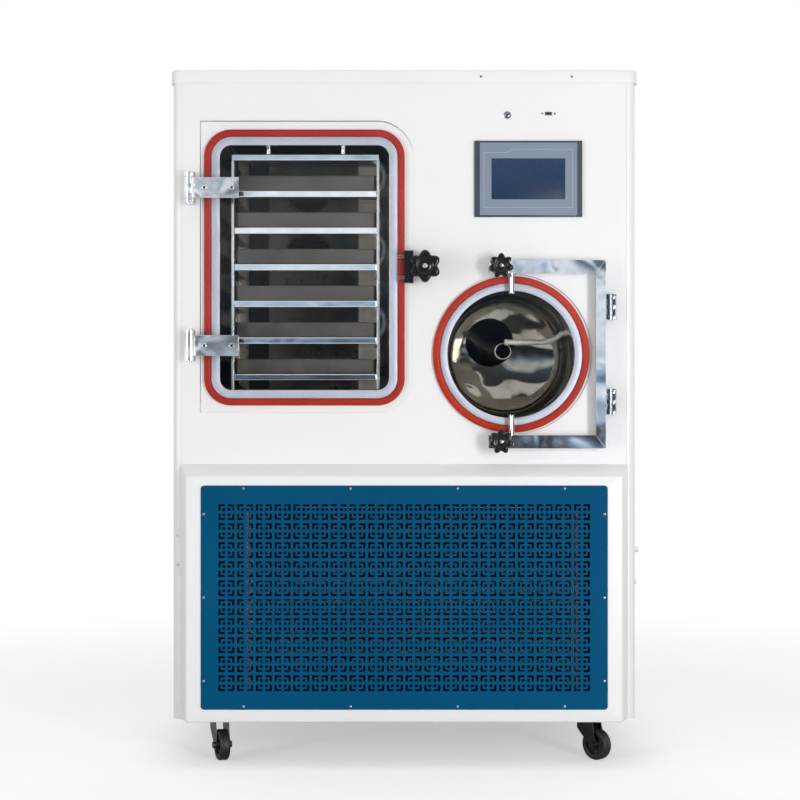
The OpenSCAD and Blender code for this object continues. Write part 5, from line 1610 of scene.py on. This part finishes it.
@dataclass
class Controls:
    """Operator panel, push button and USB socket."""

    layout: Layout
    case_proud: float = 5.2 * MM
    rails: tuple[tuple[int, float], ...] = ((-1, 11.5 * MM), (1, 10.5 * MM))
    fascia_inset: Span = (10.5 * MM, 4 * MM)
    fascia_proud: float = 0.55 * MM
    window: Span = (154.8 * MM, 86 * MM)
    window_gap: float = 0.3 * MM
    lamp: float = 1.5 * MM
    line: float = 0.9 * MM
    line_corners: tuple[Span, ...] = (
        (-93 * MM, -60 * MM), (93 * MM, -60 * MM), (93 * MM, 62 * MM), (-36 * MM, 62 * MM), (-44 * MM, 55 * MM),
        (-93 * MM, 55 * MM))

    def build(self) -> None:
        """Makes the control fittings."""
        self.build_panel()
        self.build_button()
        recast("usb_socket", Stock.SCREW, Stock.MACHINE, bevel=0.3 * MM,
               pick=lambda place, normal: 1 if place.y > self.layout.face_y + 0.5 * MM else 0)
        log.info("controls: operator panel, button, socket")

    def build_panel(self) -> None:
        """Makes the operator panel's case, fascia, line and screen."""
        low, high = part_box("hmi_housing")
        face = self.layout.face_y
        front, back = face - self.case_proud, 6 * MM
        rim = Outline(low.x, high.x, low.z, high.z, (2 * MM,) * 4, 4)
        forge = Forge()
        forge.skin([rim.upright(face), rim.upright(front + 1 * MM), rim.upright(front + 0.3 * MM, 0.3 * MM),
                    rim.upright(front, 1 * MM)], start_cap=True, end_cap=True)
        for side, wide in self.rails:
            edge = low.x if side < 0 else high.x
            rail = Outline(min(edge, edge - side * wide), max(edge, edge - side * wide), low.z, high.z,
                           (1.5 * MM,) * 4, 4)
            forge.skin([rail.upright(front), rail.upright(low.y + 0.5 * MM), rail.upright(low.y, 0.5 * MM)],
                       end_cap=True)
        forge.block(Vector((low.x + back, face, low.z + back)), Vector((high.x - back, high.y, high.z - back)))
        stand_in(forge.piece("panel_case", "cabinet", Stock.CASE), "hmi_housing")
        self.build_fascia(low, high, front)
        self.build_line((low + high) / 2, front - self.fascia_proud)
        self.build_screen((low + high) / 2, front)

    def build_fascia(self, low: Vector, high: Vector, front: float) -> None:
        """Makes the fascia with its window.

        Args:
            low: Lowest corner of the case.
            high: Highest corner of the case.
            front: Depth of the case's face.
        """
        side, foot = self.fascia_inset
        plate = Outline(low.x + side, high.x - side, low.z + foot, high.z - foot, (0.8 * MM,) * 4, 4)
        window = Outline.centred((low.x + high.x) / 2, (low.z + high.z) / 2, *self.window, 0.6 * MM, 4)
        face = front - self.fascia_proud
        forge = Forge()
        forge.skin([plate.upright(front), plate.upright(face + 0.2 * MM), plate.upright(face, 0.2 * MM),
                    window.upright(face, -0.3 * MM), window.upright(front - 0.3 * MM),
                    window.upright(front - 0.1 * MM)])
        forge.piece("panel_fascia", "cabinet", Stock.FASCIA)

    def build_screen(self, centre: Vector, front: float) -> None:
        """Makes the screen and the small lamp at its corner.

        Args:
            centre: Middle of the panel.
            front: Depth of the case's face.
        """
        low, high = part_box("hmi_screen")
        (wide, tall), gap, lamp = self.window, self.window_gap, self.lamp
        glass = Outline.centred(centre.x, centre.z, wide - 2 * gap, tall - 2 * gap, 0.5 * MM, 3)
        forge = Forge()
        forge.skin([glass.upright(front + gap), glass.upright(front - 0.15 * MM),
                    glass.upright(front - 0.2 * MM, 0.15 * MM)], start_cap=True, end_cap=True)
        forge.tag = 1
        forge.lathe([(0.0, 0.0), (1.0 * MM, 0.05 * MM), (lamp, 0.5 * MM), (lamp, 1.6 * MM), (0.0, 1.6 * MM)],
                    Vector((high.x - lamp, front - 0.9 * MM, low.z + lamp)), segments=20)
        made = forge.piece("panel_display", "cabinet", Stock.MACHINE, Stock.LINE)
        foot = centre.z - tall / 2
        screen = Display("panel_screen_glass", srgb(44, 65, 92), srgb(38, 54, 78), foot, foot + tall)
        made.data.materials[0] = screen.material()
        stand_in(made, "hmi_screen")

    def build_line(self, centre: Vector, face: float) -> None:
        """Makes the thin raised line round the screen.

        Args:
            centre: Middle of the panel.
            face: Depth of the fascia's face.
        """
        forge = Forge()
        half = self.line / 2
        section = [(-1.0, 0.05 * MM), (-0.7, -0.18 * MM), (0.7, -0.18 * MM), (1.0, 0.05 * MM)]
        loop = [Vector((centre.x + x, face, centre.z + z)) for x, z in self.line_corners]
        for a, b in zip(loop, loop[1:] + loop[:1]):
            along = (b - a).normalized()
            side = Vector((along.z, 0, -along.x)) * half
            ends = (a - along * half, b + along * half)
            forge.skin([[p + side * s + INWARD * d for s, d in section] for p in ends], start_cap=True, end_cap=True)
        forge.piece("panel_line", "cabinet", Stock.LINE)

    def build_button(self) -> None:
        """Makes the push button's bezel and its domed cap."""
        low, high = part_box("button_bezel")
        centre = middle("button_bezel")
        centre.y = self.layout.face_y
        outer = (high.x - low.x) / 2
        inner, neck = outer - 2.0 * MM, outer - 0.7 * MM
        forge = Forge()
        forge.lathe([(inner, 14 * MM), (inner, -1.2 * MM), (outer - 1.6 * MM, -1.8 * MM),
                     (outer - 1.1 * MM, -2.0 * MM), (outer - 0.4 * MM, -1.6 * MM), (outer, -0.7 * MM), (outer, 0.0),
                     (neck, 0.0), (neck, 16 * MM), (inner, 16 * MM)], centre, looped=True)
        stand_in(forge.piece("button_ring", "cabinet", Stock.SCREW), "button_bezel")
        low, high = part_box("button_cap")
        cap, top = (high.x - low.x) / 2, low.y - centre.y
        forge = Forge()
        forge.lathe([(0.0, top), (cap * 0.4, top + 0.12 * MM), (cap * 0.75, top + 0.55 * MM),
                     (cap * 0.93, top + 1.2 * MM), (cap, top + 2.2 * MM), (cap, 6 * MM), (0.0, 6 * MM)], centre)
        stand_in(forge.piece("button_dome", "button", Stock.LEAF), "button_cap")


# ---------------------------------------------------------------- casters


@dataclass
class Casters:
    """Four swivel casters with pressed forks and ribbed wheels."""

    layout: Layout
    corners: tuple[str, ...] = ("fl", "fr", "rl", "rr")
    wheel_width: float = 22 * MM
    tread_round: float = 5 * MM
    groove: Span = (4 * MM, 0.5 * MM)
    bore: float = 4.1 * MM
    spokes: int = 6
    spoke: float = 1.5 * MM
    turns: int = 72

    def build(self) -> None:
        """Makes the plates, forks and wheels."""
        recast("caster_plates", Stock.FORK, bevel=0.8 * MM)
        axes = {joint["child"]: joint for joint in frame["joints"]}
        for corner in self.corners:
            recast(f"caster_fork_{corner}", Stock.FORK, bevel=1.2 * MM, steps=3)
            self.build_wheel(corner, Vector(axes[f"wheel_{corner}"]["axis"]))
        log.info("casters: %d", len(self.corners))

    def build_wheel(self, corner: str, axis: Vector) -> None:
        """Makes one wheel with its tyre, its core and the core's spokes.

        Args:
            corner: Which caster.
            axis: The axle's direction.
        """
        node = f"caster_wheel_{corner}"
        low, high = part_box(node)
        centre = (low + high) / 2
        radius, half, bend = (high.z - low.z) / 2, self.wheel_width / 2, self.tread_round
        groove, deep = self.groove
        bed, bed_half = radius - 11 * MM, half - 1 * MM
        tyre = [(radius - 10 * MM, -bed_half), (radius - 6 * MM, -half)]
        tyre += [(radius - bend + bend * math.cos(a), bend - half + bend * math.sin(a)) for a in arc(4, -75, -15)]
        shoulder = tyre[:]
        tyre += [(radius, -groove), (radius - deep, -3.4 * MM), (radius - deep, 3.4 * MM), (radius, groove)]
        tyre += [(r, -y) for r, y in reversed(shoulder)]
        tyre += [(bed, bed_half), (bed, -bed_half)]
        core = [(self.bore, -half), (9.5 * MM, -half), (10 * MM, -half + 0.6 * MM), (10.4 * MM, -6 * MM),
                (radius - 13 * MM, -5 * MM), (radius - 11.5 * MM, -half + 1.6 * MM),
                (radius - 10.2 * MM, -half + 1.2 * MM)]
        core += [(r, -y) for r, y in reversed(core)]
        forge = Forge()
        forge.lathe(tyre, centre, axis, self.turns, looped=True)
        forge.tag = 1
        forge.lathe(core, centre, axis, self.turns, looped=True)
        side = axis.orthogonal().normalized()
        for turn in angles(self.spokes):
            spoke = Matrix.Rotation(turn, 3, axis) @ side
            for face in (-1, 1):
                inner = centre + spoke * 9.8 * MM + axis * face * 5.2 * MM
                outer = centre + spoke * (radius - 12.4 * MM) + axis * face * 4.6 * MM
                forge.tube([inner.lerp(outer, t / 4) for t in range(5)], self.spoke, 10)
        stand_in(forge.piece(f"wheel_{corner}_tyre", f"wheel_{corner}", Stock.RUBBER, Stock.FORK), node)


# ---------------------------------------------------------------- machine room


@dataclass
class MachineRoom:
    """Finned coil, fan, compressor and the other machines inside the cabinet."""

    layout: Layout
    fin_pitch: float = 3.4 * MM
    fin_thick: float = 0.25 * MM
    fin_wave: float = 4.2 * MM
    fin_folds: int = 6
    fin_flat: float = 17 * MM
    end_thick: float = 1.2 * MM
    fan_hub: float = 44 * MM
    fan_bore: float = 5.2 * MM
    fan_front: float = 18 * MM
    fan_deep: float = 36 * MM
    blades: int = 5
    blade_steps: int = 8
    blade_pitch: Span = (38.0, 22.0)
    blade_chord: Span = (60 * MM, 105 * MM)
    blade_sweep: float = 0.22
    blade_crown: float = 4 * MM
    blade_thick: float = 1.6 * MM

    def build(self) -> None:
        """Makes and dresses the machines."""
        self.build_fins()
        self.build_fan()
        low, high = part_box("fin_pack")
        recast("coil_tubes", Stock.COPPER, Stock.COLLAR, bevel=0.0,
               pick=lambda place, normal: int(low.x < place.x < high.x))
        recast("fan_shroud", Stock.MACHINE, bevel=0.6 * MM)
        recast("compressor", Stock.MACHINE, bevel=1.5 * MM)
        recast("oil_pump", Stock.BOX, bevel=2 * MM)
        recast("control_box", Stock.BOX, bevel=2 * MM)
        log.info("machine room: coil, fan, compressor, oil pump, control box")

    def build_fins(self) -> None:
        """Makes the stack of thin corrugated fins with its two end plates."""
        low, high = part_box("fin_pack")
        forge = Forge()
        count = int((high.x - low.x) / self.fin_pitch)
        for k in range(count + 1):
            x = low.x + (high.x - low.x - self.fin_thick) * k / count
            if k in (0, count):
                start = min(x, high.x - self.end_thick)
                forge.block(Vector((start, low.y, low.z)), Vector((start + self.end_thick, high.y, high.z)))
                continue
            start = low.y + self.fin_flat
            folds = [Vector((min(max(x + self.fin_wave * (f % 2 - 0.5), low.x), high.x),
                             start + (high.y - start) * f / self.fin_folds, 0)) for f in range(self.fin_folds + 1)]
            folds.insert(0, Vector((folds[0].x, low.y, 0)))
            across = RIGHT * self.fin_thick
            forge.prism(folds + [p + across for p in reversed(folds)], low.z, high.z)
        stand_in(forge.piece("fin_stack", "cabinet", Stock.FIN, flat=True), "fin_pack")

    def build_fan(self) -> None:
        """Makes the fan with five twisted blades."""
        low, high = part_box("fan_rotor")
        centre = (low + high) / 2
        radius, hub, bore, deep = (high.z - low.z) / 2, self.fan_hub, self.fan_bore, self.fan_deep
        forge = Forge()
        forge.lathe([(bore, 0.0), (30 * MM, 0.0), (40 * MM, 2 * MM), (hub, 7 * MM), (hub, deep), (bore, deep)],
                    centre - INWARD * self.fan_front, looped=True)
        shares = [step / self.blade_steps for step in range(self.blade_steps + 1)]
        root, reach = hub - 2 * MM, radius - hub + 1 * MM
        for turn in angles(self.blades):
            rows = []
            for out in shares:
                r = root + reach * out
                pitch = math.radians(self.between(self.blade_pitch, out))
                chord = self.between(self.blade_chord, out)
                row = []
                for t in (share - 0.5 for share in shares):
                    a = turn + self.blade_sweep * out ** 2 + t * chord * math.cos(pitch) / r
                    y = centre.y + t * chord * math.sin(pitch) + self.blade_crown * (1 - 4 * t * t)
                    row.append(Vector((centre.x + r * math.cos(a), y, centre.z + r * math.sin(a))))
                rows.append(row)
            forge.skin(rows, closed=False)
        stand_in(forge.piece("axial_fan", "fan", Stock.MACHINE, wall=self.blade_thick, wall_side=0.0), "fan_rotor")

    @staticmethod
    def between(limits: Span, share: float) -> float:
        """Gives the value a share of the way from one limit to the other."""
        return limits[0] + (limits[1] - limits[0]) * share


# ---------------------------------------------------------------- studio


@dataclass(frozen=True)
class Lamp:
    """One soft lamp: where it stands from the machine's middle, its width and height, and its power in watts."""

    name: str
    place: tuple[float, float, float]
    size: Span
    power: float


@dataclass
class Studio:
    """Plain pale floor, soft lamps, a dim curtain far in front and the camera."""

    layout: Layout
    distance: float = 4.0
    height: float = 0.80
    aside: float = 8.8 * MM
    rise: float = -15 / 800
    lens: float = 85.7
    sensor: float = 36.0
    reach: float = 60.0
    target_z: float = 0.85
    lamps: tuple[Lamp, ...] = (Lamp("key_panel", (2.0, -3.8, -0.05), (0.7, 1.5), 74.0),
                               Lamp("fill_panel", (-3.2, -3.0, 0.0), (0.8, 1.5), 39.0),
                               Lamp("top_panel", (0.0, -0.4, 2.6), (2.6, 2.2), 5.0))
    ambient: float = 0.42
    floor_half: float = 14.0
    floor_lift: float = 0.45
    floor_fade: Span = (1.0, 2.4)
    curtain_behind: float = 1.6
    curtain_half: float = 5.0
    curtain_tall: float = 3.6
    foot: Colour = (0.012, 0.012, 0.010, 1.0)
    head: Colour = (0.05, 0.06, 0.07, 1.0)
    bands: tuple[tuple[float, Colour], ...] = (
        (0.55, (0.018, 0.020, 0.024, 1.0)), (0.90, (0.05, 0.07, 0.11, 1.0)), (1.10, (0.22, 0.36, 0.52, 1.0)),
        (1.36, (0.60, 0.74, 0.88, 1.0)), (1.55, PURE_WHITE), (1.70, PURE_WHITE),
        (1.86, (0.45, 0.60, 0.75, 1.0)), (2.10, (0.10, 0.13, 0.16, 1.0)))
    bright_side: Span = (0.62, 0.95)
    side_rise: float = 0.42
    sway: float = 0.12

    def build(self) -> None:
        """Makes the stage."""
        self.build_camera()
        self.build_world()
        self.build_floor()
        self.build_curtain()
        for lamp in self.lamps:
            self.build_lamp(lamp)
        log.info("studio: camera, world, floor, curtain, %d lamps", len(self.lamps))

    def build_camera(self) -> None:
        """Makes the camera in front of the cabinet, level, at chest height."""
        data = bpy.data.cameras.new("front_camera")
        data.lens, data.sensor_width, data.clip_end = self.lens, self.sensor, self.reach
        data.shift_y = self.rise
        made = bpy.data.objects.new("front_camera", data)
        made.location = (self.layout.centre_x - self.aside, self.layout.face_y - self.distance, self.height)
        made.rotation_euler = (math.radians(90), 0.0, 0.0)
        bpy.context.scene.collection.objects.link(made)
        bpy.context.scene.camera = made

    def build_world(self) -> None:
        """Makes a world that looks white and lights softly."""
        world = bpy.data.worlds.new("white_room")
        bpy.context.scene.world = world
        graph = Graph.blank(world)
        path = graph.add("ShaderNodeLightPath").outputs
        seen = graph.math("MAXIMUM", path["Is Camera Ray"],
                          graph.math("MAXIMUM", path["Is Glossy Ray"], path["Is Transmission Ray"]))
        strength = graph.remap(seen, self.ambient, 1.0)
        sky = graph.add("ShaderNodeBackground", {"Color": PURE_WHITE, "Strength": strength})
        graph.add("ShaderNodeOutputWorld", {"Surface": sky.outputs[0]})

    @staticmethod
    def backdrop(name: str, corners: Ring) -> tuple[bpy.types.Object, Graph]:
        """Makes a flat piece of the stage with an empty material.

        Args:
            name: Its name.
            corners: Its corners in order.

        Returns:
            The object and the graph of its material.
        """
        forge = Forge()
        forge.face(forge.ring(corners))
        made = forge.bare(name)
        made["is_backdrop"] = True
        paint = bpy.data.materials.new(f"{name}_paint")
        made.data.materials.append(paint)
        return made, Graph.blank(paint)

    def build_floor(self) -> None:
        """Makes the pale floor, which fades into the white room as the camera and the clear plates see it."""
        half = self.floor_half
        _, graph = self.backdrop("studio_floor", [Vector((x, y, 0.0)) for x, y in (
            (-half, -half), (half, -half), (half, half), (-half, half))])
        where = graph.position()
        far = graph.add("ShaderNodeVectorMath", {0: where}, operation="LENGTH").outputs["Value"]
        haze = graph.remap(far, 0.0, 1.0, *self.floor_fade)
        speck = graph.remap(graph.noise(where, 40.0, 3.0), 0.0, 1.0, 0.3, 0.7)
        tone = graph.mix(speck, srgb(240, 240, 240), srgb(244, 244, 244))
        matt = graph.add("ShaderNodeBsdfDiffuse", {"Color": tone}).outputs[0]
        lift = graph.add("ShaderNodeEmission", {"Color": PURE_WHITE, "Strength": self.floor_lift}).outputs[0]
        near = graph.add("ShaderNodeAddShader", {0: matt, 1: lift}).outputs[0]
        white = graph.add("ShaderNodeEmission", {"Color": PURE_WHITE, "Strength": 1.0}).outputs[0]
        seen = graph.add("ShaderNodeMixShader", {0: haze, 1: near, 2: white}).outputs[0]
        path = graph.add("ShaderNodeLightPath").outputs
        direct = graph.math("MAXIMUM", path["Is Camera Ray"], path["Is Transmission Ray"])
        mixed = graph.add("ShaderNodeMixShader", {0: direct, 1: matt, 2: seen}).outputs[0]
        graph.add("ShaderNodeOutputMaterial", {"Surface": mixed})

    def build_curtain(self) -> None:
        """Makes the dim far side of the room, which only polished surfaces show."""
        y = self.layout.face_y - self.distance - self.curtain_behind
        half, tall = self.curtain_half, self.curtain_tall
        curtain, graph = self.backdrop("room_curtain", [Vector((x, y, z)) for x, z in (
            (-half, 0.0), (half, 0.0), (half, tall), (-half, tall))])
        for name in ("camera", "diffuse", "shadow", "volume_scatter"):
            setattr(curtain, f"visible_{name}", False)
        where = graph.position()
        place = graph.add("ShaderNodeSeparateXYZ", {0: where}).outputs
        right = graph.remap(place["X"], 0.0, self.side_rise / tall,
                            *(self.layout.centre_x + x for x in self.bright_side))
        sway = graph.remap(graph.noise(where, 0.9, 3.0, distortion=0.5), -self.sway, self.sway, 0.3, 0.7)
        level = graph.math("ADD", graph.remap(place["Z"], 0.0, 1.0, 0.0, tall), right)
        ramp = graph.add("ShaderNodeValToRGB", {"Fac": graph.math("ADD", level, graph.math("MULTIPLY", sway, 0.3))})
        stops = ramp.color_ramp.elements
        stops[0].color, stops[1].color = self.foot, self.head
        for height, colour in self.bands:
            stops.new(height / tall).color = colour
        mirrored = graph.math("GREATER_THAN", graph.add("ShaderNodeLightPath").outputs["Glossy Depth"], 0.5)
        colour = graph.mix(mirrored, PURE_WHITE, ramp.outputs[0])
        glow = graph.add("ShaderNodeEmission", {"Color": colour, "Strength": 1.0})
        graph.add("ShaderNodeOutputMaterial", {"Surface": glow.outputs[0]})

    def build_lamp(self, lamp: Lamp) -> None:
        """Makes a soft lamp that faces the machine's middle.

        Args:
            lamp: What it is like.
        """
        target = Vector((self.layout.centre_x, self.layout.face_y, self.target_z))
        data = bpy.data.lights.new(lamp.name, "AREA")
        data.shape, data.size, data.size_y, data.energy = "RECTANGLE", *lamp.size, lamp.power
        made = bpy.data.objects.new(lamp.name, data)
        made.location = target + Vector(lamp.place)
        made.rotation_euler = (target - made.location).to_track_quat("-Z", "Y").to_euler()
        made.visible_camera = False
        bpy.context.scene.collection.objects.link(made)


def main() -> None:
    """Builds every sub-assembly in order."""
    logging.basicConfig(level=logging.INFO, format="%(name)s: %(message)s")
    bpy.context.scene.view_settings.view_transform = "Standard"
    layout = Layout.read()
    builders = (Studio(layout), Cabinet(layout), Grille(layout), DryingChamber(layout), ColdTrap(layout),
                ChamberDoor(layout), TrapDoor(layout), Controls(layout), Casters(layout), MachineRoom(layout))
    for builder in builders:
        builder.build()
    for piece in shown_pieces():
        log.info("piece %s", piece.name)


if __name__ == "__main__":
    main()
